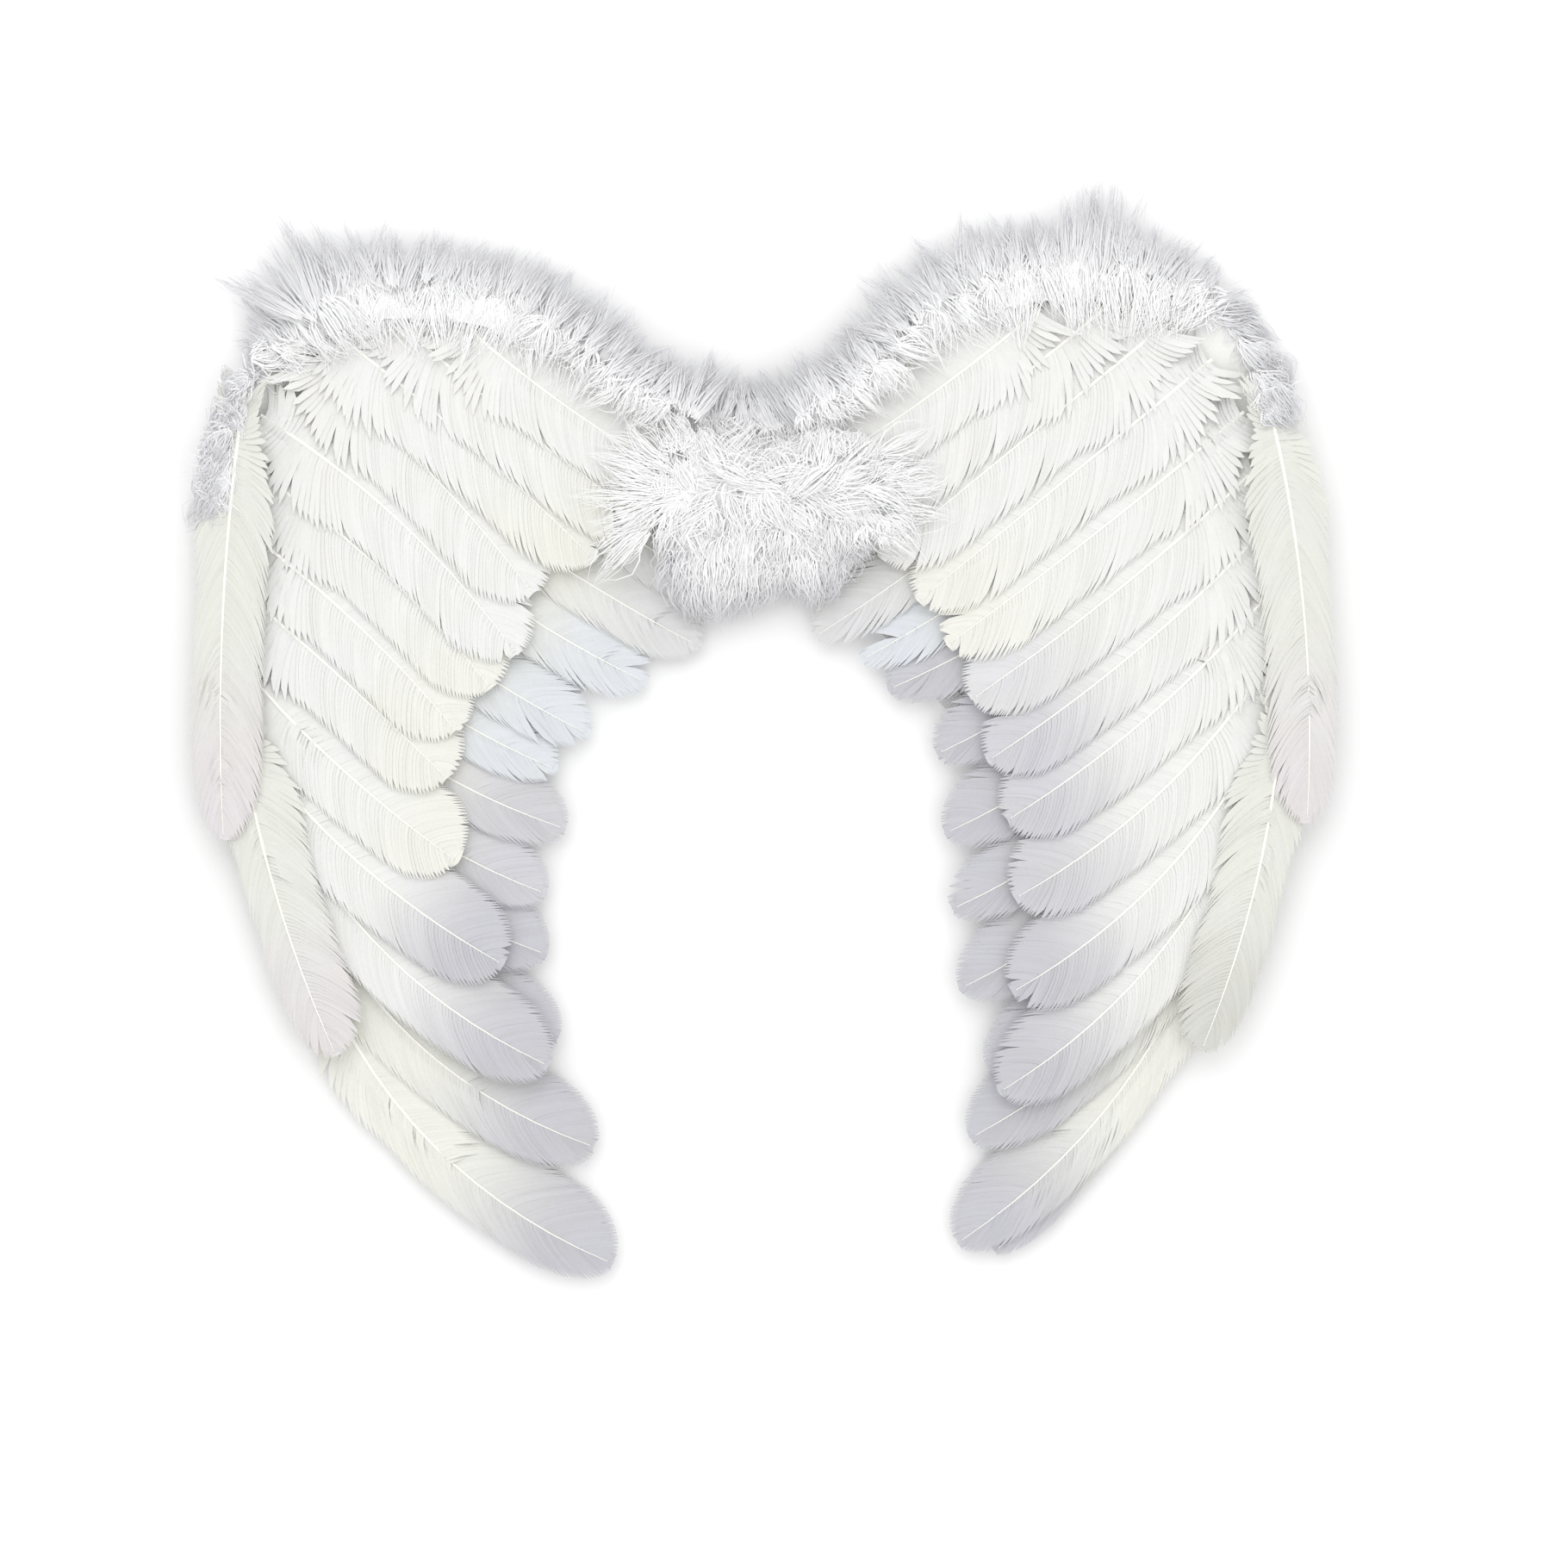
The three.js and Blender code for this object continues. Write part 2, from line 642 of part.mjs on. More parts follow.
function marabouCentre() {
  const points = centreEdge.map((row) => place(row.x, row.y, rightSide));
  const curve = new THREE.CatmullRomCurve3(points.map((p) => new THREE.Vector3(p.x, p.y, 0)), true);
  const middle = place(centreMiddle.x, centreMiddle.y, rightSide);
  const spokes = 2 * Math.round(curve.getLength() / lockPitch / 4);
  const ringShares = [0.3, 0.56, 0.8, 1];
  const under = [[middle.x, middle.y, 0]];
  ringShares.forEach((share, ring) => {
    for (let i = 0; i < spokes; i++) {
      const lock = (i % 2 ? 1 + lockDepth / 3 : 1 - lockDepth / 2) + 0.06 * scatter(i, 3);
      const edge = curve.getPointAt(i / spokes);
      under.push([
        middle.x + (edge.x - middle.x) * share * lock,
        middle.y + (edge.y - middle.y) * share * lock,
        0,
      ]);
    }
  });
  const disc = [];
  for (let i = 0; i < spokes; i++) {
    const next = (i + 1) % spokes;
    disc.push([0, 1 + i, 1 + next]);
    for (let ring = 0; ring + 1 < ringShares.length; ring++) {
      const near = 1 + ring * spokes;
      const far = near + spokes;
      disc.push(...strip(near + i, far + i, far + next, near + next));
    }
  }
  settle(under, disc);
  const over = under.map(([x, y, z], i) => {
    const share = i === 0 ? 0 : ringShares[Math.floor((i - 1) / spokes)];
    const crown = boardTop + centreHeight * (1 - share ** 2) * (0.85 + 0.3 * scatter(i, 4));
    return [x, y, Math.max(z + 2 * vaneThickness, crown)];
  });
  const triangles = disc.map(([a, b, c]) => [c, b, a]);
  for (const [a, b, c] of disc) triangles.push([under.length + a, under.length + b, under.length + c]);
  const rim = 1 + (ringShares.length - 1) * spokes;
  for (let i = 0; i < spokes; i++) {
    const next = (i + 1) % spokes;
    triangles.push(...strip(rim + i, rim + next, under.length + rim + next, under.length + rim + i));
  }
  return named("marabou_centre", closedSolid([...under, ...over], triangles), sheen(0xf6f6f6, 1));
}

const layers = new THREE.Group();
layers.add(backingBoard());
layers.add(elasticStrap(leftSide, "elastic_strap_left"));
layers.add(elasticStrap(rightSide, "elastic_strap_right"));
layers.add(...featherRow(flightLeft, leftSide, flightKind, "flight_feather"));
layers.add(...featherRow(flightRight, rightSide, flightKind, "flight_feather"));
layers.add(...featherRow(covertLeft, leftSide, covertKind, "covert_feather"));
layers.add(...featherRow(covertRight, rightSide, covertKind, "covert_feather"));
layers.add(...featherRow(outerLeft, leftSide, outerKind, "outer_feather"));
layers.add(...featherRow(outerRight, rightSide, outerKind, "outer_feather"));
const trims = [
  marabouTrim(leftSide, "marabou_trim_left"),
  marabouTrim(rightSide, "marabou_trim_right"),
];
for (const trim of trims) {
  layTrim(trim);
  layers.add(trim.mesh);
}
layers.add(marabouCentre());

// The origin is the middle of the underside of the whole
const box = new THREE.Box3().setFromObject(layers);
const middle = box.getCenter(new THREE.Vector3());
layers.position.set(-middle.x, -middle.y, -box.min.z);

const angelWings = new THREE.Group();
angelWings.add(layers);

export default angelWings;
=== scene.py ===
import math

import bmesh
import bpy
import numpy as np
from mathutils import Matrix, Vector
from mathutils.bvhtree import BVHTree


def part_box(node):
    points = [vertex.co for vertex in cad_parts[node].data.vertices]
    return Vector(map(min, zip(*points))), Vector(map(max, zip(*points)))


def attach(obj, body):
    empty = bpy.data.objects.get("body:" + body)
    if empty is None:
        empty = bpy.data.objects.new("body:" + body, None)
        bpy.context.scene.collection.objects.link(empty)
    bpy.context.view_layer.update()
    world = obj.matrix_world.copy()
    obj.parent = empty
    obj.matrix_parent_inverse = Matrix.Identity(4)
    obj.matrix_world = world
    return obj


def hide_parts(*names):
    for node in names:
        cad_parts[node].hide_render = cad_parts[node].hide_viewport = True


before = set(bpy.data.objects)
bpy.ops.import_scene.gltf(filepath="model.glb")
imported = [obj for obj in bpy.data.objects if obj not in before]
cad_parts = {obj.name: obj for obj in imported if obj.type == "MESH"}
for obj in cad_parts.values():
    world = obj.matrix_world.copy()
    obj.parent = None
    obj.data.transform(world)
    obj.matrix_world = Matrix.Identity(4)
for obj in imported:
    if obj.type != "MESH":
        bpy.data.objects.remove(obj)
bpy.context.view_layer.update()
bpy.ops.object.select_all(action="DESELECT")  # loading leaves the CAD nodes selected

# Costume angel wings lying face up: glued goose feathers, marabou trims, a non-woven board behind
# and two elastic straps. The tables are in shares of half the span and of the height, as the
# solids were laid out, and each piece is then set on its own solid's box.
mm = 0.001
halfSpan = 250 * mm
wingHeight = 477 * mm
leftSide = -1
rightSide = 1


# Camera, floor and light
stage = {
    "middle": (0.0090, -0.0225),  # what the photograph has in its middle
    "viewWidth": 0.679,  # as wide as the picture is at the height of the feathers
    "viewHeight": 0.012,
    "lens": 90,
    "sensor": 36,
    "keyPlace": (-0.25, 1.25, 1.55),
    "keyPower": 9,
    "fillPlace": (0.9, -0.7, 1.9),
    "fillPower": 2.97,
    "lightSize": 1.6,
    "skyStrength": 1.02,
    "floorSize": 6,
}


def addCamera():
    bpy.ops.object.camera_add(rotation=(0, 0, 0))
    camera = bpy.context.object
    camera.data.sensor_width = stage["sensor"]
    camera.data.lens = stage["lens"]
    distance = stage["viewWidth"] * stage["lens"] / stage["sensor"]
    camera.location = (*stage["middle"], distance + stage["viewHeight"])
    bpy.context.scene.camera = camera


def addLight(name, location, power):
    bpy.ops.object.light_add(type="AREA", location=location)
    light = bpy.context.object
    light.name = name
    light.data.size = stage["lightSize"]
    light.data.energy = power
    light.rotation_euler = Vector(location).to_track_quat("Z", "Y").to_euler()


def toLinear(hexColor):
    channels = [int(hexColor[i:i + 2], 16) / 255 for i in (1, 3, 5)]
    return tuple(c / 12.92 if c <= 0.04045 else ((c + 0.055) / 1.055) ** 2.4 for c in channels)


def addNode(material, kind, settings=None, links=None):
    # settings are properties or socket values, links are socket: (node, output)
    node = material.node_tree.nodes.new(kind)
    for key, value in (settings or {}).items():
        if key in node.inputs:
            node.inputs[key].default_value = value
        else:
            setattr(node, key, value)
    for key, (source, output) in (links or {}).items():
        material.node_tree.links.new(source.outputs[output], node.inputs[key])
    return node


def addMix(material, first, second, factor):
    return addNode(material, "ShaderNodeMix",
                   {"data_type": "RGBA", "A": (*toLinear(first), 1), "B": (*toLinear(second), 1)},
                   {"Factor": factor})


def newMaterial(name):
    material = bpy.data.materials.new(name)
    material.use_nodes = True
    material.node_tree.nodes.clear()
    return material


def finishMaterial(material, surface, settings, links):
    shader = addNode(material, "ShaderNodeBsdfPrincipled", settings, links)
    output = addNode(material, "ShaderNodeOutputMaterial")
    material.node_tree.links.new(shader.outputs["BSDF"], output.inputs["Surface"])
    material.diffuse_color = (*surface, 1)
    return material


addCamera()
print("camera set")


# Materials
def gooseVane():
    # Bleached goose feather: keratin barbs that lie close, satin, with a fine grain along them.
    material = newMaterial("bleached goose vane")
    tone = addNode(material, "ShaderNodeAttribute", {"attribute_name": "tone"})
    place = addNode(material, "ShaderNodeTexCoord")
    grain = addNode(material, "ShaderNodeTexNoise", {"Scale": 900, "Detail": 3, "Roughness": 0.6},
                    {"Vector": (place, "Object")})  # barbules of about 1 mm
    cloud = addNode(material, "ShaderNodeTexNoise", {"Scale": 45, "Detail": 4},
                    {"Vector": (place, "Object")})  # the bleach took unevenly over 20 mm
    grainRamp = addNode(material, "ShaderNodeMapRange",
                        {"From Min": 0.3, "From Max": 0.7, "To Min": 0.955, "To Max": 1.0},
                        {"Value": (grain, "Fac")})
    cloudRamp = addNode(material, "ShaderNodeMapRange",
                        {"From Min": 0.3, "From Max": 0.7, "To Min": 0.0, "To Max": 0.35},
                        {"Value": (cloud, "Fac")})
    cream = addNode(material, "ShaderNodeMix",
                    {"data_type": "RGBA", "blend_type": "MULTIPLY", "B": (*toLinear("#fbfaf0"), 1)},
                    {"Factor": (cloudRamp, "Result"), "A": (tone, "Color")})
    shade = addNode(material, "ShaderNodeVectorMath", {"operation": "SCALE"},
                    {"Vector": (cream, "Result"), "Scale": (grainRamp, "Result")})
    rough = addNode(material, "ShaderNodeMapRange",
                    {"From Min": 0.3, "From Max": 0.7, "To Min": 0.5, "To Max": 0.68},
                    {"Value": (grain, "Fac")})
    bump = addNode(material, "ShaderNodeBump", {"Strength": 0.25, "Distance": 0.0001},
                   {"Height": (grain, "Fac")})
    return finishMaterial(material, toLinear("#f2f2f0"),
                          {"IOR": 1.54, "Specular IOR Level": 0.35},
                          {"Base Color": (shade, "Vector"), "Roughness": (rough, "Result"),
                           "Normal": (bump, "Normal")})


def gooseShaft():
    # Feather shaft: solid keratin, slightly yellow and glossier than the vane.
    material = newMaterial("goose feather shaft")
    place = addNode(material, "ShaderNodeTexCoord")
    streak = addNode(material, "ShaderNodeTexNoise", {"Scale": 220, "Detail": 2},
                     {"Vector": (place, "Object")})
    color = addMix(material, "#f9f9f3", "#f2f1e8", (streak, "Fac"))
    bump = addNode(material, "ShaderNodeBump", {"Strength": 0.15, "Distance": 0.0001},
                   {"Height": (streak, "Fac")})
    return finishMaterial(material, toLinear("#f7f6ec"), {"IOR": 1.54, "Roughness": 0.38},
                          {"Base Color": (color, "Result"), "Normal": (bump, "Normal")})


def marabouDown():
    # Marabou: turkey down bleached white, so matt that its strands only show by their shade.
    material = newMaterial("bleached marabou down")
    tone = addNode(material, "ShaderNodeAttribute", {"attribute_name": "tone"})
    place = addNode(material, "ShaderNodeTexCoord")
    fluff = addNode(material, "ShaderNodeTexNoise", {"Scale": 500, "Detail": 4, "Roughness": 0.7},
                    {"Vector": (place, "Object")})  # clots of down 2 mm across
    ramp = addNode(material, "ShaderNodeMapRange",
                   {"From Min": 0.3, "From Max": 0.7, "To Min": 0.95, "To Max": 1.0},
                   {"Value": (fluff, "Fac")})
    shade = addNode(material, "ShaderNodeVectorMath", {"operation": "SCALE"},
                    {"Vector": (tone, "Color"), "Scale": (ramp, "Result")})
    # loose strands pass light on, so their sides aren't dark
    facing = addNode(material, "ShaderNodeNewGeometry")
    soft = addNode(material, "ShaderNodeMix",
                   {"data_type": "VECTOR", "Factor": 0.25, "B": (0, 0, 1)},
                   {"A": (facing, "Normal")})
    bump = addNode(material, "ShaderNodeBump", {"Strength": 0.3, "Distance": 0.0004},
                   {"Height": (fluff, "Fac"), "Normal": (soft, "Result")})
    return finishMaterial(material, toLinear("#f1f1f2"),
                          {"IOR": 1.54, "Roughness": 0.9, "Specular IOR Level": 0.2},
                          {"Base Color": (shade, "Vector"), "Normal": (bump, "Normal")})


def nonWovenBoard():
    # Stiff non-woven sheet: pressed polyester fibres, matt, with a dull speckle.
    material = newMaterial("stiff non-woven sheet")
    place = addNode(material, "ShaderNodeTexCoord")
    fibres = addNode(material, "ShaderNodeTexNoise",
                     {"Scale": 1400, "Detail": 5, "Distortion": 2.5},
                     {"Vector": (place, "Object")})
    dimples = addNode(material, "ShaderNodeTexVoronoi", {"Scale": 420, "Randomness": 0.15},
                      {"Vector": (place, "Object")})  # bonding points 2.4 mm apart
    dent = addNode(material, "ShaderNodeMapRange", {"From Min": 0.0, "From Max": 0.35},
                   {"Value": (dimples, "Distance")})
    height = addNode(material, "ShaderNodeMath", {"operation": "ADD"},
                     {0: (fibres, "Fac"), 1: (dent, "Result")})
    color = addMix(material, "#efefeb", "#fafaf8", (fibres, "Fac"))
    bump = addNode(material, "ShaderNodeBump", {"Strength": 0.5, "Distance": 0.0002},
                   {"Height": (height, "Value")})
    return finishMaterial(material, toLinear("#f2f2ee"), {"Roughness": 0.92},
                          {"Base Color": (color, "Result"), "Normal": (bump, "Normal")})


def wovenElastic(angle):
    # Woven elastic: polyester warp over rubber, so it shows ribs across its length every 0.8 mm.
    material = newMaterial("woven polyester elastic")
    place = addNode(material, "ShaderNodeTexCoord")
    turned = addNode(material, "ShaderNodeMapping", {"Rotation": (0, 0, -angle)},
                     {"Vector": (place, "Object")})
    ribs = addNode(material, "ShaderNodeTexWave", {"Scale": 200, "Distortion": 0.4, "Detail": 1},
                   {"Vector": (turned, "Vector")})
    threads = addNode(material, "ShaderNodeTexWave",
                      {"Scale": 330, "bands_direction": "Y", "Distortion": 0.2},
                      {"Vector": (turned, "Vector")})
    weave = addNode(material, "ShaderNodeMath", {"operation": "MULTIPLY"},
                    {0: (ribs, "Fac"), 1: (threads, "Fac")})
    color = addMix(material, "#d9d9da", "#f6f6f6", (weave, "Value"))
    bump = addNode(material, "ShaderNodeBump", {"Strength": 0.7, "Distance": 0.0002},
                   {"Height": (weave, "Value")})
    return finishMaterial(material, toLinear("#f4f4f4"), {"Roughness": 0.75, "Sheen Weight": 0.15},
                          {"Base Color": (color, "Result"), "Normal": (bump, "Normal")})


def studioFloor():
    material = newMaterial("white studio floor")
    place = addNode(material, "ShaderNodeTexCoord")
    grain = addNode(material, "ShaderNodeTexNoise", {"Scale": 300}, {"Vector": (place, "Object")})
    rough = addNode(material, "ShaderNodeMapRange", {"To Min": 0.9, "To Max": 1.0},
                    {"Value": (grain, "Fac")})
    return finishMaterial(material, (1, 1, 1), {"Base Color": (0.93, 0.93, 0.93, 1)},
                          {"Roughness": (rough, "Result")})


def setStage():
    bpy.ops.mesh.primitive_plane_add(size=stage["floorSize"], location=(0, 0, 0))
    floor = bpy.context.object
    floor.name = "studio_floor"
    floor.data.materials.append(studioFloor())
    addLight("key light", stage["keyPlace"], stage["keyPower"])
    addLight("fill light", stage["fillPlace"], stage["fillPower"])
    world = bpy.data.worlds.new("studio")
    world.use_nodes = True
    sky = world.node_tree.nodes["Background"]
    sky.inputs["Color"].default_value = (1, 1, 1, 1)
    sky.inputs["Strength"].default_value = stage["skyStrength"]
    bpy.context.scene.world = world
    bpy.context.scene.view_settings.view_transform = "Standard"


setStage()
vaneMaterial = gooseVane()
shaftMaterial = gooseShaft()
downMaterial = marabouDown()
print("stage and materials ready")


# Shared shapes: many closed tapered strips in one mesh
stripProfile = ((-1, 0), (1, 0), (0, -1))
roundProfile = tuple((-math.cos(a), math.sin(a)) for a in np.arange(8) * math.tau / 8)


def smoothStep(value, low, high):
    share = np.clip((value - low) / (high - low), 0, 1)
    return share * share * (3 - 2 * share)


def unit(vectors):
    return vectors / np.maximum(np.linalg.norm(vectors, axis=-1, keepdims=True), 1e-9)


def stripRings(centres, ups, widths, heights, profile, roll=0):
    # centres: strip, ring, xyz. Each ring's profile runs clockwise, seen along the strip.
    forward = unit(np.gradient(centres, axis=1))
    right = unit(np.cross(forward, ups))
    above = unit(np.cross(right, forward))
    turn = np.reshape(roll, (-1, 1, 1))
    across = right * np.cos(turn) + above * np.sin(turn)
    above = above * np.cos(turn) - right * np.sin(turn)
    rings = [centres + across * (x * widths)[..., None] + above * (z * heights)[..., None]
             for x, z in profile]
    return np.stack(rings, axis=2)


def closeStrips(rings, tones):
    # Joins each strip's rings and closes both ends: the last ring is small, so its cap is a point
    strips, ringCount, sides, _ = rings.shape
    size = ringCount * sides
    starts = (np.arange(strips) * size)[:, None, None, None]
    ring = (np.arange(ringCount - 1) * sides)[None, :, None, None]
    side = np.arange(sides)
    quad = np.stack([side, (side + 1) % sides, (side + 1) % sides + sides, side + sides], axis=-1)
    quads = (starts + ring + quad[None, None]).reshape(-1, 4)
    first = np.arange(strips)[:, None] * size + side[::-1][None]
    last = np.arange(strips)[:, None] * size + (ringCount - 1) * sides + side[None]
    faces = quads.tolist() + first.tolist() + last.tolist()
    colors = np.repeat(tones[:, :, None, :], sides, axis=2).reshape(-1, 3)
    return rings.reshape(-1, 3), faces, colors


def buildMesh(name, parts, material):
    # parts: (corners, faces, tones)
    corners, faces, tones = [], [], []
    start = 0
    for partCorners, partFaces, partTones in parts:
        corners.append(partCorners)
        tones.append(partTones)
        faces += [[start + i for i in face] for face in partFaces]
        start += len(partCorners)
    mesh = bpy.data.meshes.new(name)
    mesh.from_pydata(np.concatenate(corners).tolist(), [], faces)
    attribute = mesh.attributes.new("tone", "FLOAT_COLOR", "POINT")
    tones = np.concatenate(tones)
    attribute.data.foreach_set("color", np.column_stack([tones, np.ones(len(tones))]).ravel())
    mesh.materials.append(material)
    piece = bpy.data.objects.new(name, mesh)
    bpy.context.collection.objects.link(piece)
    return piece


def joinInto(piece, others):
    bpy.ops.object.select_all(action="DESELECT")
    for other in [piece, *others]:
        other.select_set(True)
    bpy.context.view_layer.objects.active = piece
    bpy.ops.object.join()
    bpy.ops.object.select_all(action="DESELECT")
    return piece


# Feathers
feather = {
    "vaneStart": 0.03,
    "vaneWidest": 0.36,
    "tipStart": 0.83,
    "tipCrowding": 1.9,
    "rings": 12,
    "quill": 2.6 * mm,
    "shaftRings": 15,
    "shaftEnd": 0.985,
    "shaftShare": 0.3,  # the shaft's radius as a share of the quill
    "shaftDip": 0.9 * mm,  # how far the quill goes down under the down at the root
    "barbPitch": 1.75 * mm,
    "barbOverlap": 0.82,
    "barbThickness": 0.14 * mm,
    "barbNarrowest": 0.12 * mm,
    "barbWidest": 1.7 * mm,
    "barbTaper": (1, 1, 1, 0.95, 0.8, 0.12),  # one share for each ring
    "barbCurve": 1.35,
    "barbSweep": 0.17,
    "rootSweep": -0.45,  # near the root the barbs stand backwards
    "clumps": 0.22,
    "clearance": 0.3 * mm,
    "dome": 0.75 * mm,
    "droop": 0.5 * mm,
    "wave": 0.25 * mm,
    "rootDown": 0.95,
    "splay": 0.10,
    "sinkLimit": 3.0 * mm,
    "liftLimit": 1.5 * mm,
    "splits": 5,
    "splitSpread": 0.010,
    "splitReach": 0.035,
}
whiteVane = np.array(toLinear("#e8e8e7"))
creamVane = np.array(toLinear("#e8e8e2"))
# Tip colours: the feathers' faint own tint, darkened as painted shade for the shade that falls on
# the thin tips under the layer above
greyShadedTip = np.array(toLinear("#c2c2c9"))
blueShadedTip = np.array(toLinear("#d9dde3"))
pinkShadedTip = np.array(toLinear("#dcd8da"))
paleShadedTip = np.array(toLinear("#d9d9db"))
lilacShadedTip = np.array(toLinear("#c9c9cf"))
sandShadedTip = np.array(toLinear("#cfcfca"))
outerVane = np.array(toLinear("#dfe0da"))

# innerSpread widens the soft inner barbs of the outer feathers, which lie over the wing
flightKind = {"width": 42 * mm, "rise": 2 * mm, "tilt": 0.09, "slot": "flight_feather",
              "body": creamVane, "innerSpread": 1}
covertKind = {"width": 46 * mm, "rise": 3 * mm, "tilt": 0.09, "slot": "covert_feather",
              "body": whiteVane, "innerSpread": 1}
outerKind = {"width": 28 * mm, "rise": 0, "tilt": -0.06, "slot": "outer_feather",
             "body": outerVane, "innerSpread": 1.45}

# root and tip in shares, bow towards the outer edge, width and shaft as shares, fray, tip colour
# (the darker ones with painted shade)
flightLeft = (
    (0.765, 0.280, 0.248, 0.007, 0.105, 1.00, 0.38, 0.1, greyShadedTip),
    (0.793, 0.362, 0.278, 0.113, 0.110, 0.98, 0.44, 0.1, greyShadedTip),
    (0.842, 0.432, 0.342, 0.213, 0.100, 0.92, 0.42, 0.2, greyShadedTip),
    (0.872, 0.502, 0.364, 0.289, 0.090, 0.90, 0.42, 0.1, greyShadedTip),
    (0.887, 0.557, 0.364, 0.344, 0.080, 0.84, 0.42, 0.1, lilacShadedTip),
    (0.890, 0.615, 0.330, 0.403, 0.080, 0.86, 0.42, 0.2, lilacShadedTip),
    (0.860, 0.654, 0.347, 0.457, 0.060, 0.80, 0.42, 0.3, blueShadedTip),
    (0.808, 0.697, 0.290, 0.489, 0.050, 0.82, 0.44, 0.5, blueShadedTip),
    (0.726, 0.732, 0.190, 0.536, 0.040, 0.88, 0.44, 0.4, blueShadedTip),
    (0.644, 0.764, 0.098, 0.569, 0.030, 0.88, 0.44, 0.3, paleShadedTip),
    (0.562, 0.799, 0.045, 0.615, 0.020, 0.85, 0.44, 0.3, paleShadedTip),
)
flightRight = (
    (0.790, 0.300, 0.412, 0.018, 0.062, 0.62, 0.36, 0.3, greyShadedTip),
    (0.799, 0.342, 0.348, 0.026, 0.090, 0.92, 0.40, 0.2, greyShadedTip),
    (0.836, 0.405, 0.370, 0.122, 0.100, 0.92, 0.42, 0.2, greyShadedTip),
    (0.859, 0.467, 0.400, 0.185, 0.100, 0.86, 0.42, 0.2, greyShadedTip),
    (0.873, 0.530, 0.352, 0.258, 0.090, 0.90, 0.42, 0.2, greyShadedTip),
    (0.881, 0.584, 0.337, 0.330, 0.080, 0.88, 0.42, 0.9, greyShadedTip),
    (0.873, 0.639, 0.326, 0.399, 0.070, 0.90, 0.42, 0.3, greyShadedTip),
    (0.836, 0.686, 0.311, 0.471, 0.060, 0.85, 0.42, 0.6, greyShadedTip),
    (0.777, 0.729, 0.229, 0.530, 0.050, 0.85, 0.44, 0.5, greyShadedTip),
    (0.702, 0.764, 0.182, 0.557, 0.040, 0.80, 0.44, 1.0, blueShadedTip),
    (0.613, 0.795, 0.101, 0.578, 0.030, 0.80, 0.44, 1.0, paleShadedTip),
)
covertLeft = (
    (0.827, 0.428, 0.357, 0.188, 0.090, 0.88, 0.44, 0.1, greyShadedTip),
    (0.860, 0.467, 0.436, 0.280, 0.050, 0.95, 0.46, 0.1, greyShadedTip),
    (0.882, 0.545, 0.518, 0.374, 0.030, 0.95, 0.46, 0.1, creamVane),
    (0.882, 0.615, 0.533, 0.448, -0.010, 0.95, 0.48, 0.1, creamVane),
    (0.875, 0.670, 0.518, 0.491, -0.030, 0.92, 0.48, 0.1, creamVane),
    (0.860, 0.725, 0.458, 0.530, -0.040, 0.95, 0.48, 0.1, creamVane),
    (0.860, 0.779, 0.414, 0.561, -0.050, 0.95, 0.50, 0.2, whiteVane),
    (0.786, 0.834, 0.384, 0.615, -0.030, 0.95, 0.50, 0.3, whiteVane),
    (0.763, 0.866, 0.280, 0.647, -0.020, 0.98, 0.50, 0.4, creamVane),
    (0.637, 0.873, 0.176, 0.678, 0.020, 1.00, 0.50, 0.5, creamVane),
    (0.518, 0.866, 0.116, 0.717, 0.030, 0.95, 0.50, 0.4, whiteVane),
)
covertRight = (
    (0.845, 0.420, 0.420, 0.165, 0.080, 0.88, 0.44, 0.2, greyShadedTip),
    (0.862, 0.475, 0.440, 0.255, 0.070, 0.92, 0.46, 0.2, greyShadedTip),
    (0.875, 0.545, 0.445, 0.340, 0.060, 0.95, 0.46, 0.2, lilacShadedTip),
    (0.885, 0.615, 0.430, 0.410, 0.040, 0.95, 0.48, 0.2, lilacShadedTip),
    (0.880, 0.675, 0.400, 0.465, 0.030, 0.92, 0.48, 0.2, lilacShadedTip),
    (0.865, 0.730, 0.370, 0.520, 0.020, 0.95, 0.48, 0.3, paleShadedTip),
    (0.845, 0.782, 0.330, 0.570, 0.010, 0.95, 0.50, 0.5, creamVane),
    (0.790, 0.830, 0.280, 0.610, 0.000, 0.95, 0.50, 0.4, creamVane),
    (0.710, 0.862, 0.215, 0.650, 0.000, 0.98, 0.50, 0.5, whiteVane),
    (0.600, 0.875, 0.150, 0.690, 0.010, 1.00, 0.50, 0.4, whiteVane),
    (0.490, 0.875, 0.110, 0.730, 0.020, 0.95, 0.50, 0.4, whiteVane),
)
outerLeft = (
    (0.900, 0.520, 0.726, 0.197, 0.038, 1.02, 0.50, 0.4, pinkShadedTip),
    (0.884, 0.800, 0.920, 0.392, 0.025, 0.95, 0.50, 0.3, pinkShadedTip),
)
outerRight = (
    (0.908, 0.514, 0.768, 0.202, 0.042, 1.00, 0.50, 0.5, sandShadedTip),
    (0.876, 0.805, 0.950, 0.408, 0.040, 0.98, 0.50, 0.6, pinkShadedTip),
)


def place(x, y, side):
    return np.array([side * x * halfSpan, y * wingHeight])


def vaneShare(along):
    rounding = np.maximum(along - feather["tipStart"], 0) / (1 - feather["tipStart"])
    widening = smoothStep(along, feather["vaneStart"], feather["vaneWidest"])
    return widening * np.sqrt(np.maximum(1 - rounding ** 2, 0))


def layFeather(row, side, kind):
    # The feather's centre line and widths, before it is set on its solid
    rootX, rootY, tipX, tipY, bow, width, shaft = row[:7]
    root = place(rootX, rootY, side)
    tip = place(tipX, tipY, side)
    run = tip - root
    bend = (root + tip) / 2 + 2 * bow * side * np.array([-run[1], run[0]])
    return {"root": root, "bend": bend, "tip": tip, "side": side, "kind": kind,
            "outer": kind["width"] * width * shaft, "inner": kind["width"] * width * (1 - shaft),
            "length": np.linalg.norm(run) * (1 + 2 * bow ** 2), "lift": np.zeros(3)}


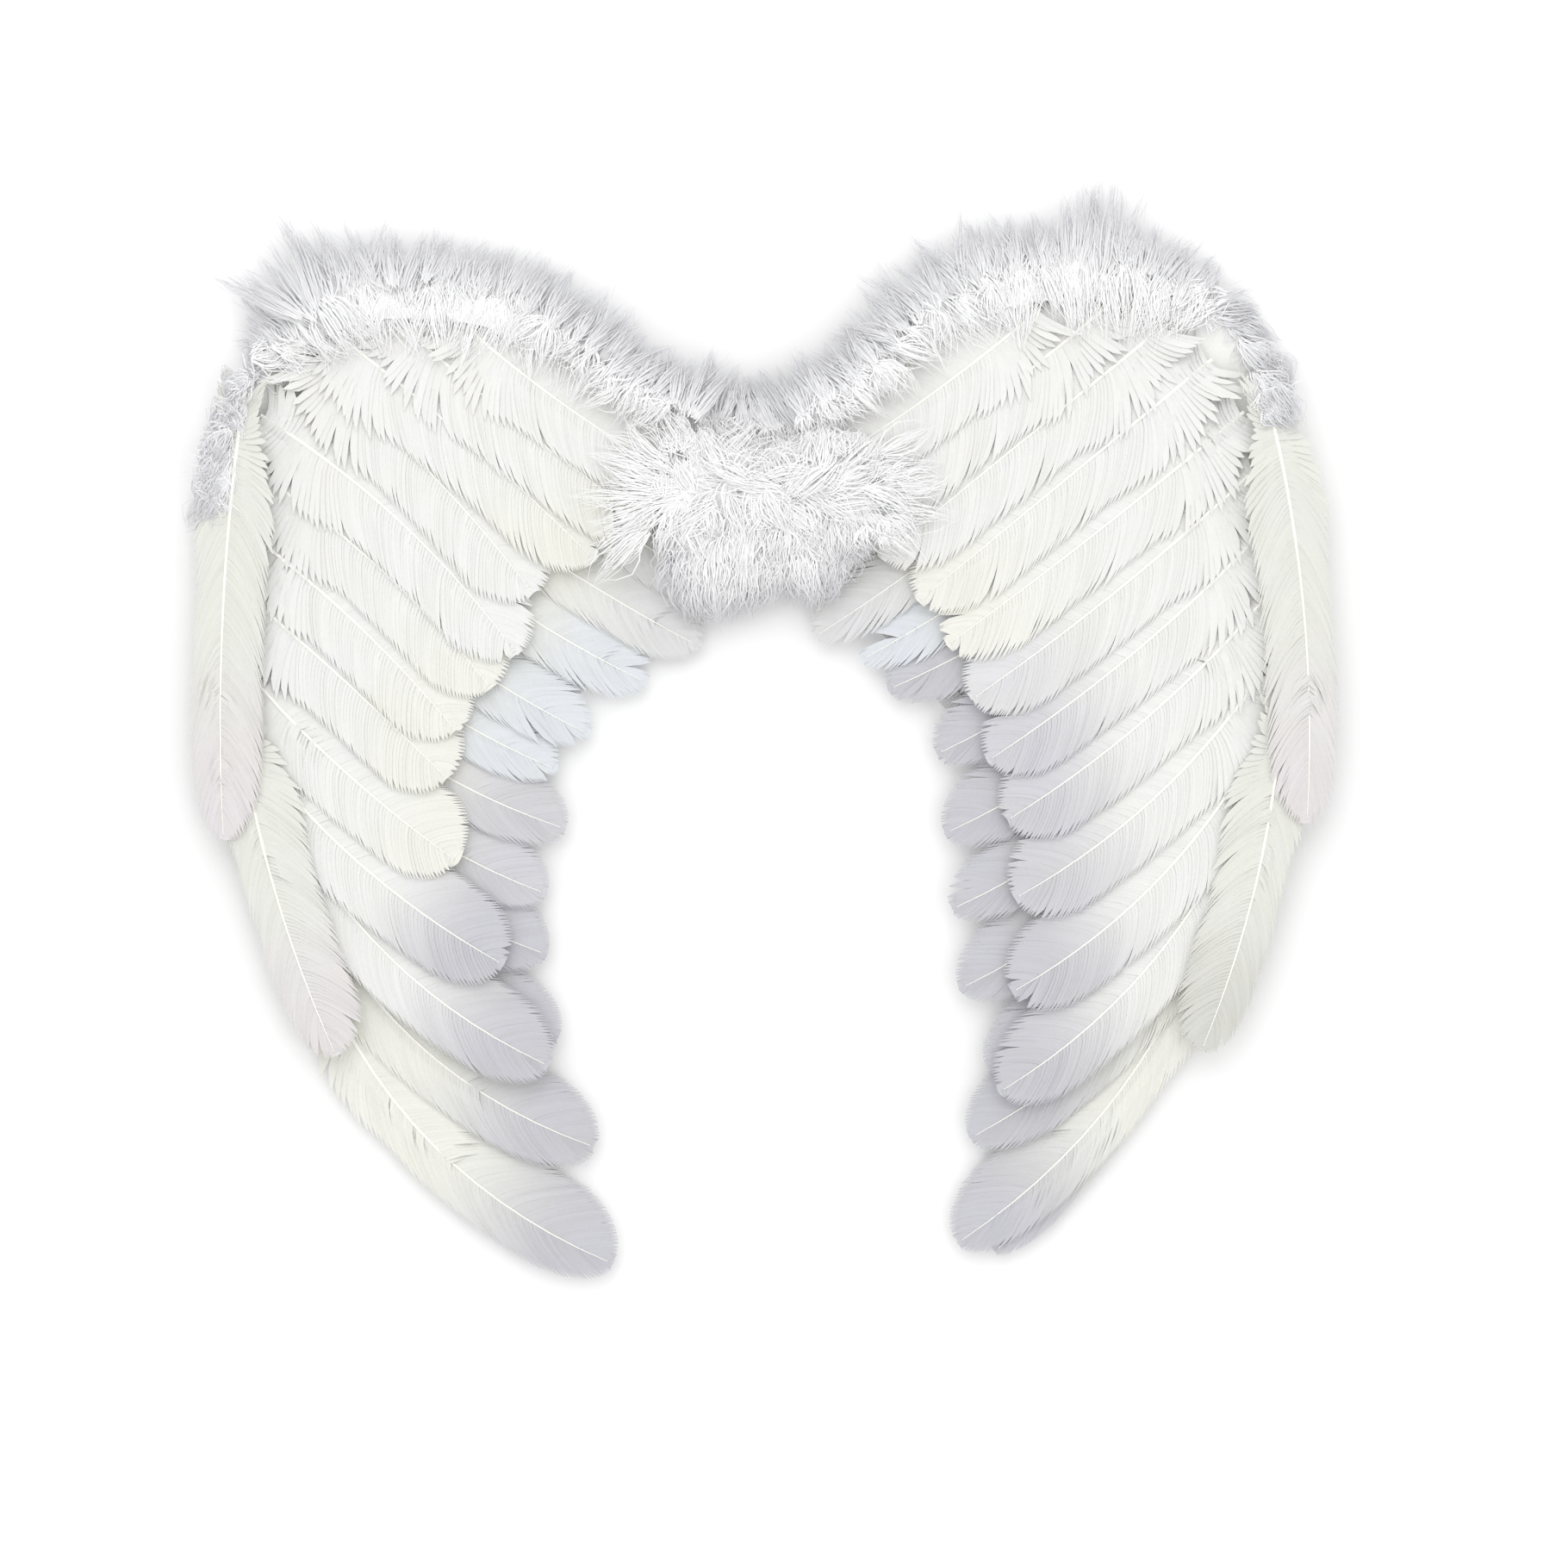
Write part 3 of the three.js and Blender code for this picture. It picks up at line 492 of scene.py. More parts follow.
def spotOn(plume, along, offset, height):
    # A point beside the shaft: offset is positive to the wing's outer edge, height is over the vane
    s = np.asarray(along)[..., None]
    middle = plume["root"] * (1 - s) ** 2 + 2 * plume["bend"] * s * (1 - s) + plume["tip"] * s ** 2
    heading = unit((plume["bend"] - plume["root"]) * (1 - s) + (plume["tip"] - plume["bend"]) * s)
    across = plume["side"] * np.stack([-heading[..., 1], heading[..., 0]], axis=-1)
    flat = middle + across * np.asarray(offset)[..., None]
    z = plume["kind"]["rise"] * np.asarray(along) + plume["kind"]["tilt"] * offset + height
    return np.concatenate([flat, z[..., None]], axis=-1) + plume["lift"]


def halfWidth(plume, along, edge):
    quill = feather["quill"] / 2
    full = plume["outer"] if edge > 0 else plume["inner"]
    return quill + (full - quill) * vaneShare(along)


def setOnSolid(plume, node):
    # The feather's own box meets the box of the solid that it stands for
    along = 1 - (1 - np.arange(feather["rings"]) / (feather["rings"] - 1)) ** feather["tipCrowding"]
    edges = [spotOn(plume, along, edge * halfWidth(plume, along, edge), np.zeros(len(along)))
             for edge in (-1, 1)]
    plume["lift"] = np.array(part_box(node)[0]) - np.concatenate(edges).min(axis=0)


# Height of what lies at each place so far, in cells of 1 mm, so that feathers can sink onto it
pileLow = np.array([-0.28, -0.27])
pileCells = (560, 540)
pile = np.zeros(pileCells)


def cellsUnder(points):
    cells = ((points[..., :2] - pileLow) / mm).astype(int)
    return np.clip(cells[..., 0], 0, pileCells[0] - 1), np.clip(cells[..., 1], 0, pileCells[1] - 1)


def fillPile(corners, faces):
    # Raises the pile to the top of a mesh
    tree = BVHTree.FromPolygons([Vector(corner) for corner in corners], faces)
    spread = np.array(corners)
    lows = cellsUnder(spread.min(axis=0))
    highs = cellsUnder(spread.max(axis=0))
    for i in range(lows[0], highs[0] + 1):
        for j in range(lows[1], highs[1] + 1):
            spot = pileLow + np.array([i + 0.5, j + 0.5]) * mm
            hit = tree.ray_cast(Vector((*spot, 1)), Vector((0, 0, -1)))[0]
            if hit:
                pile[i, j] = max(pile[i, j], hit.z)


def pileAround(points):
    # The highest of the cells at and beside each point
    x, y = cellsUnder(points)
    heights = [pile[np.clip(x + i, 0, pileCells[0] - 1), np.clip(y + j, 0, pileCells[1] - 1)]
               for i in (-1, 0, 1) for j in (-1, 0, 1)]
    return np.maximum.reduce(heights)


def sinkOntoPile(centres, across):
    below = pileAround(centres) + feather["clearance"]
    hang = np.maximum(centres[..., 2] - below, 0)
    share = 0.5 + 0.42 * smoothStep(across, 0.1, 0.9)
    centres[..., 2] -= np.minimum(hang * share, feather["sinkLimit"])
    centres[..., 2] += np.clip(below - centres[..., 2], 0, feather["liftLimit"])
    return centres


def raisePile(centres):
    # centres: strip, ring, xyz. The places between rings and between strips count too.
    for strips in (centres, (centres[:-1] + centres[1:]) / 2):
        for share in np.linspace(0, 1, 6):
            spots = strips[:, :-1] * (1 - share) + strips[:, 1:] * share
            np.maximum.at(pile, cellsUnder(spots), spots[..., 2])


def barbs(plume, edge, fray, tip, random):
    pitch = feather["barbPitch"] / plume["length"]
    start = np.arange(0.02, 0.995, pitch)
    start = start + random.uniform(-0.15, 0.15, len(start)) * pitch
    rootSweep = feather["rootSweep"]
    sweep = feather["barbSweep"] * (rootSweep + (1 - rootSweep) * smoothStep(start, 0.0, 0.3))
    end = start + sweep * (1 - np.clip(start, 0, 1) ** 7)
    splits = random.uniform(0.45, 0.97, int(feather["splits"] * fray))
    for split in splits:
        push = feather["splitSpread"] * random.uniform(0.3, 1.0) * (1 + 1.5 * fray)
        gap = start - split
        end = end + push * np.exp(-np.abs(gap) / feather["splitReach"]) * np.sign(gap)
    reach = 1 - random.uniform(0, 0.03 + 0.05 * fray, len(start))
    groups = np.cumsum(random.uniform(0, 1, len(start)) < feather["clumps"])
    for group in np.unique(groups):  # barbs that cling together end in one point
        members = groups == group
        cling = 0.04 + 0.5 * fray * random.uniform(0.3, 1)
        meeting = end[members].mean()
        end[members] += (meeting - end[members]) * cling * smoothStep(meeting, 0.15, 0.4)
        reach[members] *= 1 - fray * random.uniform(0, 0.16)
    end = np.clip(end, start - feather["splay"], 0.999)
    share = np.linspace(0, 1, len(feather["barbTaper"]))[None]
    along = start[:, None] + (end - start)[:, None] * share ** feather["barbCurve"]
    # near the root the barbs are long, loose down
    loose = feather["rootDown"] * (1 - smoothStep(end, 0.1, 0.45))
    loose = loose * random.uniform(0.6, 1.0, len(start))
    full = plume["outer"] if edge > 0 else plume["inner"]
    spread = plume["kind"]["innerSpread"] if edge < 0 else 1
    width = halfWidth(plume, end, edge) * reach * spread + full * loose / spread
    offset = edge * width[:, None] * (1 - (1 - share) ** 1.15)
    across = np.abs(offset) / halfWidth(plume, along, edge)
    wave = feather["wave"] * np.sin(start * 37 + edge + plume["length"] * 900)[:, None] * across
    across = np.minimum(across, 1)
    height = 0.2 * mm + feather["dome"] * (1 - across ** 2) - feather["droop"] * across ** 2 + wave
    height = height + random.uniform(-0.05, 0.05, (len(start), 1)) * mm
    centres = sinkOntoPile(spotOn(plume, along, offset, height), across)
    plume["laid"].append(centres)
    ups = np.broadcast_to(np.array([0.0, 0.0, 1.0]), centres.shape)
    spacing = np.linalg.norm(np.gradient(centres, axis=0)[..., :2], axis=-1)
    forward = unit(np.gradient(centres, axis=1))
    step = np.gradient(centres, axis=0)
    apart = np.abs(step[..., 0] * forward[..., 1] - step[..., 1] * forward[..., 0])
    taper = np.array(feather["barbTaper"])[None]
    widths = np.minimum(apart, spacing) * feather["barbOverlap"]
    widths = np.clip(widths, feather["barbNarrowest"], feather["barbWidest"]) * taper
    heights = np.full(widths.shape, feather["barbThickness"]) * taper
    roll = edge * plume["side"] * random.uniform(0.05, 0.16, len(start))
    rings = stripRings(centres, ups, widths, heights, stripProfile, roll)
    tipShadeShare = smoothStep(along, 0.5, 0.9)[..., None]
    body = plume["kind"]["body"]
    tones = body + (tip - body) * tipShadeShare  # painted shade: the tip colour darkens the thin tips for the shade on and under them
    tones = tones * (1 - random.uniform(0, 0.045, (len(start), 1, 1)))
    return closeStrips(rings, tones)


def shaftTube(plume, tones):
    count = feather["shaftRings"]
    along = np.linspace(0, feather["shaftEnd"], count)
    dip = feather["shaftDip"] * (1 - smoothStep(along, 0.05, 0.2))
    height = feather["clearance"] + feather["dome"] - dip
    centres = sinkOntoPile(spotOn(plume, along, np.zeros(count), height), np.zeros(count))[None]
    ups = np.broadcast_to(np.array([0.0, 0.0, 1.0]), centres.shape)
    radii = (feather["quill"] * feather["shaftShare"] * (1 - along) ** 0.8 + 0.12 * mm)[None]
    heading = unit(np.gradient(centres[0, :, :2], axis=0))
    beside = np.stack([-heading[:, 1], heading[:, 0], np.zeros(count)], axis=1)
    plume["laid"].append(centres[0] + np.arange(-2, 3)[:, None, None] * 0.7 * mm * beside
                         + np.array([0, 0, 0.5 * mm]))
    rings = stripRings(centres, ups, radii, radii * 0.8, roundProfile)
    return closeStrips(rings, np.broadcast_to(tones, (1, count, 3)))


def makeFeather(name, row, side, kind, seed):
    random = np.random.default_rng(seed)
    fray, tip = row[7:]
    plume = layFeather(row, side, kind)
    setOnSolid(plume, name)
    plume["laid"] = []
    parts = [barbs(plume, 1, fray, tip, random), barbs(plume, -1, fray, tip, random)]
    vane = buildMesh("vane_of_" + name, parts, vaneMaterial)
    shaft = buildMesh("shaft_of_" + name, [shaftTube(plume, creamVane)], shaftMaterial)
    for centres in plume["laid"]:
        raisePile(centres)
    piece = joinInto(vane, [shaft])
    piece.name = "plume_" + name
    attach(piece, "root")
    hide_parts(name)
    return plume


def makeRow(rows, side, kind, prefix, seed):
    word = "left" if side < 0 else "right"
    return [makeFeather(f"{prefix}_{word}_{i + 1:02d}", row, side, kind, seed + i)
            for i, row in enumerate(rows)]


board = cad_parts["backing_board"].data
fillPile([vertex.co[:] for vertex in board.vertices],
         [polygon.vertices[:] for polygon in board.polygons])
firstPlumes = makeRow(flightLeft, leftSide, flightKind, "flight_feather", 100)
layoutShift = firstPlumes[0]["lift"][:2]  # every solid was moved by the same amount
makeRow(flightRight, rightSide, flightKind, "flight_feather", 200)
print("flight feathers made")
makeRow(covertLeft, leftSide, covertKind, "covert_feather", 300)
makeRow(covertRight, rightSide, covertKind, "covert_feather", 400)
print("covert feathers made")
makeRow(outerLeft, leftSide, outerKind, "outer_feather", 500)
makeRow(outerRight, rightSide, outerKind, "outer_feather", 600)
print("outer feathers made")


# Marabou
marabou = {
    "reach": 25 * mm,
    "inset": 24 * mm,
    "tuftPitch": 1.0 * mm,
    "strands": 20,
    "centreTufts": 375,
    "centreSpread": 3.4 * mm,
    "spiralTurn": 2.399963,  # the golden angle spreads the centre's tufts evenly
    "strandRadius": 0.22 * mm,
    "strandTaper": (1, 1, 0.8, 0.5, 0.08),  # one share for each ring
    "strandFlatness": 0.6,
    "strays": 0.12,
    "rootScatter": 0.9 * mm,
    "curl": 0.5 * mm,
    "curlTurns": 7,
    "unevenness": 0.35 * mm,
    "coreReach": 5 * mm,
    "trimCore": 0.6,  # how much of the solid's height the filling inside keeps
    "centreCore": 0.9,
    "centreCoreWidth": 0.85,
    "ridge": 36 * mm,
    "brushed": (0.71, 0.9),  # from and to where along its edge a trim is brushed flat
}
whiteDown = np.array(toLinear("#fbfbfb"))
# painted shade: the grey that thin strands at the fringe and at the mound's lower edge take on in
# shade
shadedDown = np.array(toLinear("#c9c9ce"))

# Edge of the board: x and y in shares, how far the down reaches out of the edge and over the wing
trimLeft = (
    (0.000, 0.771, 0.70, 0.50),
    (0.116, 0.785, 0.85, 0.50),
    (0.213, 0.810, 0.68, 0.65),
    (0.302, 0.853, 0.72, 0.80),
    (0.414, 0.888, 0.68, 1.00),
    (0.548, 0.902, 0.62, 1.00),
    (0.682, 0.900, 0.95, 1.00),
    (0.786, 0.877, 1.34, 0.95),
    (0.860, 0.834, 0.25, 0.80),
    (0.908, 0.771, 0.32, 0.15),
    (0.926, 0.701, 0.58, -0.20),
)
trimRight = (
    (0.000, 0.771, 0.70, 0.50),
    (0.115, 0.791, 0.80, 0.50),
    (0.204, 0.830, 0.75, 0.65),
    (0.278, 0.873, 0.85, 0.80),
    (0.382, 0.906, 0.85, 1.00),
    (0.501, 0.920, 0.70, 1.00),
    (0.585, 0.921, 1.30, 1.00),
    (0.660, 0.916, 0.75, 1.00),
    (0.740, 0.900, 0.60, 1.00),
    (0.814, 0.873, 0.62, 0.85),
    (0.859, 0.834, 0.52, 0.55),
    (0.896, 0.779, 0.30, 0.20),
)
centreEdge = (
    (0.250, 0.690), (0.200, 0.752), (0.020, 0.748), (-0.170, 0.748), (-0.215, 0.690),
    (-0.175, 0.598), (-0.050, 0.594), (0.050, 0.612), (0.150, 0.608),
)
centreMiddle = (0.022, 0.705)


def throughPoints(points, closed, count):
    # A smooth curve through points, sampled evenly along it
    points = np.asarray(points, dtype=float)
    if closed:
        ends = [points[-1:], points, points[:2]]
    else:
        ends = [2 * points[:1] - points[1:2], points, 2 * points[-1:] - points[-2:-1]]
    knots = np.concatenate(ends)
    fine = []
    for i in range(1, len(knots) - 2):
        t = np.linspace(0, 1, 24, endpoint=False)[:, None]
        before, here, there, after = knots[i - 1:i + 3]
        fine.append(0.5 * (2 * here + (there - before) * t
                           + (2 * before - 5 * here + 4 * there - after) * t ** 2
                           + (3 * here - before - 3 * there + after) * t ** 3))
    fine = np.concatenate(fine + [knots[-2:-1]])
    steps = np.linalg.norm(np.diff(fine[:, :2], axis=0), axis=1)
    distance = np.concatenate([[0], np.cumsum(steps)])
    wanted = np.linspace(0, distance[-1], count)
    even = np.stack([np.interp(wanted, distance, column) for column in fine.T], axis=1)
    return even, distance[-1]


def surfaceUnder(nodes):
    # The highest point of some solids at a place, or the floor
    corners, triangles = [], []
    for name in nodes:
        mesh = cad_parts[name].data
        start = len(corners)
        corners += [vertex.co.copy() for vertex in mesh.vertices]
        triangles += [[start + i for i in polygon.vertices] for polygon in mesh.polygons]
    tree = BVHTree.FromPolygons(corners, triangles)

    def top(x, y):
        hit = tree.ray_cast(Vector((x, y, 1)), Vector((0, 0, -1)))[0]
        return hit.z if hit else 0.0
    return top


def softCore(node, share):
    # The solid itself, softened and pressed down, fills the down from within
    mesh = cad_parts[node].data.copy()
    core = bmesh.new()
    core.from_mesh(mesh)
    bmesh.ops.remove_doubles(core, verts=core.verts, dist=1e-6)
    for _ in range(3):
        bmesh.ops.smooth_vert(core, verts=core.verts, factor=0.5, use_axis_x=True, use_axis_y=True,
                              use_axis_z=True)
    corners = np.array([vertex.co[:] for vertex in core.verts])
    under = pile[cellsUnder(corners)] + feather["clearance"]
    corners[:, 2] -= np.maximum(corners[:, 2] - under, 0) * (1 - share)
    faces = [[vertex.index for vertex in face.verts] for face in core.faces]
    core.free()
    bpy.data.meshes.remove(mesh)
    return corners, faces


def tuftStrands(tufts, random, count):
    # Each tuft is a bundle of strands that swells and then ends in one point. Its values are the
    # places of its root and tip, three heights, how much painted shade greys it at both ends and
    # how far it spreads.
    columns = (np.array(value) for value in zip(*tufts))
    roots, tips, low, middle, high, shadeAtRoot, shadeAtEnd, spread = columns
    rings = len(marabou["strandTaper"])
    share = np.linspace(0, 1, rings)[None, None, :, None]
    run = (tips - roots)[:, None, None, :]
    heading = unit(tips - roots)
    sideways = np.stack([-heading[:, 1], heading[:, 0]], axis=1)[:, None, None, :]
    many = (len(tufts), count, 1)
    lateral = (random.normal(0, 1, many) * spread[:, None, None])[..., None]
    stray = (random.uniform(0, 1, (*many, 1)) < marabou["strays"]) * 1.0
    reach = random.uniform(0.62, 1.0, (*many, 1))
    bundle = np.sin(np.pi * np.minimum(share * 0.92 + 0.08, 1)) * (1 - stray) + share * stray
    base = roots[:, None, None, :] + random.normal(0, marabou["rootScatter"], (*many, 2))
    phase = random.uniform(0, math.tau, (*many, 1))
    curl = np.sin(share * marabou["curlTurns"] + phase) * marabou["curl"] * share
    flat = base + run * share * reach + sideways * (lateral * bundle + curl)
    along = (share * reach)[..., 0]
    low, middle, high, shadeAtRoot, shadeAtEnd = (value[:, None, None]
                                            for value in (low, middle, high, shadeAtRoot, shadeAtEnd))
    z = low * (1 - along) ** 2 + 2 * middle * along * (1 - along) + high * along ** 2
    uneven = random.normal(0, marabou["unevenness"], many)
    z = z + uneven * np.sin(np.pi * np.minimum(along + 0.15, 1))
    z = np.maximum(z, pile[cellsUnder(flat)] + random.uniform(0.2, 0.8, many) * mm)
    centres = np.concatenate([flat, z[..., None]], axis=-1).reshape(-1, rings, 3)
    ups = np.broadcast_to(np.array([0.0, 0.0, 1.0]), centres.shape)
    taper = np.array(marabou["strandTaper"])[None]
    radii = marabou["strandRadius"] * random.uniform(0.7, 1.3, (len(centres), 1)) * taper
    roll = random.normal(0, 0.2, len(centres))
    flatness = marabou["strandFlatness"]
    ringSpots = stripRings(centres, ups, radii, radii * flatness, stripProfile, roll)
    downShade = shadeAtRoot + (shadeAtEnd - shadeAtRoot) * along
    downShade = np.clip(downShade + random.uniform(-0.06, 0.06, many), 0, 1)[..., None]
    tones = (whiteDown + (shadedDown - whiteDown) * downShade).reshape(-1, rings, 3)
    return closeStrips(ringSpots, tones)


def finishDown(name, node, parts):
    piece = buildMesh(name, parts, downMaterial)
    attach(piece, "root")
    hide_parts(node)


topOfAll = surfaceUnder([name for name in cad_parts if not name.startswith("elastic")])

# for each turn of a tuft: how grey its painted shade makes it, how far it spreads, and its middle's
# and end's rise in mm
tuftTurns = {
    "out": (1.0, 1.8 * mm, (1.5, 4), (2, 6)),
    "up": (0.5, 2.6 * mm, (1, 3), (1, 3)),
    "in": (0.0, 3.4 * mm, (0.5, 2), (0.3, 1.0)),
}


def outOfEdge(corners, path, outward):
    # How far each corner lies out of the board's edge, and the nearest point of that edge
    apart = corners[:, None, :2] - path[None, :, :2]
    nearest = np.argmin((apart ** 2).sum(axis=2), axis=1)
    return (apart[np.arange(len(corners)), nearest] * outward[nearest]).sum(axis=1), nearest


def makeTrim(rows, side, node, seed):
    random = np.random.default_rng(seed)
    points = [(*(place(x, y, side) + layoutShift), fluff, inset) for x, y, fluff, inset in rows]
    length = throughPoints(points, False, 10)[1]
    count = int(length / marabou["tuftPitch"])
    path = throughPoints(points, False, count)[0]
    heading = unit(np.gradient(path[:, :2], axis=0))
    outward = side * np.stack([-heading[:, 1], heading[:, 0]], axis=1)
    spots = path[:, :2] + random.normal(0, 0.8 * mm, (count, 2))
    lean = np.clip(random.normal(0, 0.28, (count, 1)), -0.45, 0.45)
    tufts = []
    turns = ("out", "in", "out", "up", "in")  # in lies over the wing
    for i in range(count):
        fluff, inset = path[i, 2:]
        brush = smoothStep(i / count, *marabou["brushed"])
        flat = 1 - 0.75 * brush
        turn = turns[i % len(turns)]
        if brush > 0.5 and turn == "in":
            turn = "out"
        direction = outward[i] * (1 - 0.6 * brush) + heading[i] * (lean[i] + brush)
        downShade, spread, lifts, ends = tuftTurns[turn]
        if turn == "out":
            reach = marabou["reach"] * fluff * random.uniform(0.85, 1.3) + 2 * mm
            root = spots[i] - outward[i] * random.uniform(0, 5) * mm
        elif turn == "up":
            reach = marabou["reach"] * fluff * random.uniform(0.3, 0.7)
            root = spots[i] - outward[i] * random.uniform(0, 0.5) * marabou["inset"] * max(inset, 0)
        else:
            reach = -marabou["inset"] * max(inset, 0.1) * random.uniform(0.9, 1.7)
            root = spots[i] - outward[i] * random.uniform(-4, 6) * mm
        lift = random.uniform(*lifts) * mm
        end = random.uniform(*ends) * mm
        root = root + outward[i] * brush * random.uniform(0, 9) * mm
        tip = root + direction * reach if brush > 0.5 else spots[i] + direction * reach
        spread = spread * (1 + brush)
        top = topOfAll(*root)
        under = pile[cellsUnder(tip)]
        lift *= min(fluff + 0.2, 1) * flat
        end *= flat
        top = under + (top - under) * flat
        tufts.append((root, tip, max(top - 1.5 * mm, 3 * mm), top + lift, under + end,
                      downShade * 0.2, downShade, spread))
    corners, faces = softCore(node, marabou["trimCore"])
    out, nearest = outOfEdge(corners, path, outward)
    ending = smoothStep(nearest / count, *marabou["brushed"])
    corners[:, 2] -= np.maximum(corners[:, 2] - pile[cellsUnder(corners)] * 0.6, 0) * ending
    pull = np.maximum(out - marabou["coreReach"] * (1 - ending), 0) * (0.65 + 0.3 * ending)
    corners[:, :2] -= outward[nearest] * pull[:, None]
    # painted shade: the core greys past the board's edge and is darkened by a tenth for lying in
    # the strands' shade
    edgeShade = smoothStep(out - pull, 0, 10 * mm)
    tones = (whiteDown + (shadedDown - whiteDown) * edgeShade[:, None]) * 0.9
    fillPile(corners, faces)
    strands = tuftStrands(tufts, random, marabou["strands"])
    finishDown(node + "_down", node, [(corners, faces, tones), strands])


makeTrim(trimLeft, leftSide, "marabou_trim_left", 11)
makeTrim(trimRight, rightSide, "marabou_trim_right", 12)
print("marabou trims made")


def makeCentre(node, seed):
    random = np.random.default_rng(seed)
    points = [(*(place(x, y, rightSide) + layoutShift), 0) for x, y in centreEdge]
    edge = throughPoints(points, True, 240)[0][:, :2]
    middle = place(*centreMiddle, rightSide) + layoutShift
    count = marabou["centreTufts"]
    turn = np.arange(count) * marabou["spiralTurn"]
    share = np.sqrt((np.arange(count) + 0.5) / count)
    spokes = edge[(turn / math.tau % 1 * len(edge)).astype(int)]
    lower = spokes[:, 1] < middle[1] - 20 * mm
    inside = share * np.where(lower, 0.76, 0.97)
    roots = middle + (spokes - middle) * inside[:, None] + random.normal(0, 1.2 * mm, (count, 2))
    fromRidge = roots - middle  # the down parts along a level ridge
    fromRidge[:, 0] -= np.clip(fromRidge[:, 0], -marabou["ridge"], marabou["ridge"])
    outward = unit(fromRidge / (9 * mm) + np.array([0.0, -0.3]) + random.normal(0, 0.5, (count, 2)))
    level = np.abs(outward[:, 0]) > 0.6  # at the sides it runs on over the wings
    reach = random.uniform(15, 24, count) * mm * np.where(level, 1.4, 1)
    room = np.linalg.norm(spokes - roots, axis=1) + random.uniform(-3, 2, count) * mm
    reach = np.where(level, reach, np.minimum(reach, np.maximum(room, 8 * mm)))
    tips = roots + outward * reach[:, None]
    rootTop = np.array([topOfAll(*root) for root in roots])
    tipTop = np.array([topOfAll(*tip) for tip in tips])
    bare = pile[cellsUnder(tips)]
    # past the marabou it lies on the feathers
    tipTop = np.where(tipTop > bare + 4 * mm, tipTop, bare)
    # painted shade: the down greys towards the mound's lower edge, the side away from the key light
    downShade = smoothStep(share, 0.62, 1.0) * np.where(lower, 1.0, 0.1)
    tufts = zip(roots, tips, rootTop - 1.5 * mm, rootTop + random.uniform(1, 2.5, count) * mm,
                np.maximum(tipTop, 4 * mm) + random.uniform(0.3, 1.8, count) * mm,
                downShade * 0.2, downShade, np.full(count, marabou["centreSpread"]))
    corners, faces = softCore(node, marabou["centreCore"])
    corners[:, :2] = middle + (corners[:, :2] - middle) * marabou["centreCoreWidth"]
    # painted shade: the core is darkened a little for lying in the strands' shade
    tones = np.broadcast_to(whiteDown * 0.95, corners.shape)
    fillPile(corners, faces)
    strands = tuftStrands(list(tufts), random, marabou["strands"])
    finishDown(node + "_down", node, [(corners, faces, tones), strands])


makeCentre("marabou_centre", 13)
print("marabou centre made")


# Board
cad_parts["backing_board"].data.materials.clear()
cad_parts["backing_board"].data.materials.append(nonWovenBoard())


# Elastic straps: a flat loop with folded corners, box-stitched to two pads behind the bridge
strap = {
    "length": 200 * mm,
    "spacing": 38 * mm,
    "width": 10 * mm,
    "thickness": 1.1 * mm,
    "padLength": 15 * mm,
    "padHeight": 3 * mm,
    "angle": math.radians(50),
    "bevel": 0.35 * mm,
    "foldBevel": 0.3 * mm,
    "padBevel": 0.5 * mm,
    "ribBevel": 0.04 * mm,
    "sunk": 0.8,  # pads and folds start at this share of the elastic's thickness
    "ribPitch": 1.6 * mm,
    "ribHeight": 0.1 * mm,
    "selvedge": 0.6 * mm,
    "stitch": 2.0 * mm,
    "thread": 0.22 * mm,
    "stitchInset": 1.8 * mm,
}


def addBar(low, high, bevel):
    bpy.ops.object.select_all(action="DESELECT")
    low, high = Vector(low), Vector(high)
    bpy.ops.mesh.primitive_cube_add(size=1, location=(low + high) / 2)
    bar = bpy.context.object
    bar.scale = high - low
    bpy.ops.object.transform_apply(location=True, rotation=True, scale=True)
    if bevel:
        edge = bar.modifiers.new("edge", "BEVEL")
        edge.width = bevel
        edge.segments = 1
    return bar


def cutCorner(bar, point, direction):
    # Cuts the bar at an upright plane and takes away what lies past it
    bpy.ops.object.mode_set(mode="EDIT")
    bpy.ops.mesh.select_all(action="SELECT")
    bpy.ops.mesh.bisect(plane_co=point, plane_no=direction, use_fill=True, clear_outer=True)
    bpy.ops.object.mode_set(mode="OBJECT")
    return bar


def applyAll(piece):
    bpy.ops.object.select_all(action="DESELECT")
    piece.select_set(True)
    bpy.context.view_layer.objects.active = piece
    for modifier in list(piece.modifiers):
        bpy.ops.object.modifier_apply(modifier=modifier.name)
    return piece


def ribs(inner, outer, turn):
    # Ribs stand out a little on both faces of the elastic
    low, high = sorted((turn * inner, turn * outer))
    start = strap["padLength"]
    end = start + strap["ribPitch"] * 0.55
    rib = addBar((start, low, 0), (end, high, strap["thickness"] + strap["ribHeight"]),
                 strap["ribBevel"])
    row = rib.modifiers.new("row", "ARRAY")
    row.count = int((strap["length"] - strap["padLength"] - strap["width"]) / strap["ribPitch"])
    row.use_relative_offset = False
    row.use_constant_offset = True
    row.constant_offset_displace = (strap["ribPitch"], 0, 0)
    return rib


def addStitch(start, end):
    # A short run of thread, half sunk in the elastic
    run = Vector(end) - Vector(start)
    bpy.ops.mesh.primitive_cylinder_add(vertices=6, radius=strap["thread"],
                                        depth=strap["stitch"] * 0.8,
                                        location=(Vector(start) + Vector(end)) / 2,
                                        rotation=run.to_track_quat("Z", "Y").to_euler())
    bpy.ops.object.transform_apply(location=True, rotation=True, scale=True)
    return bpy.context.object


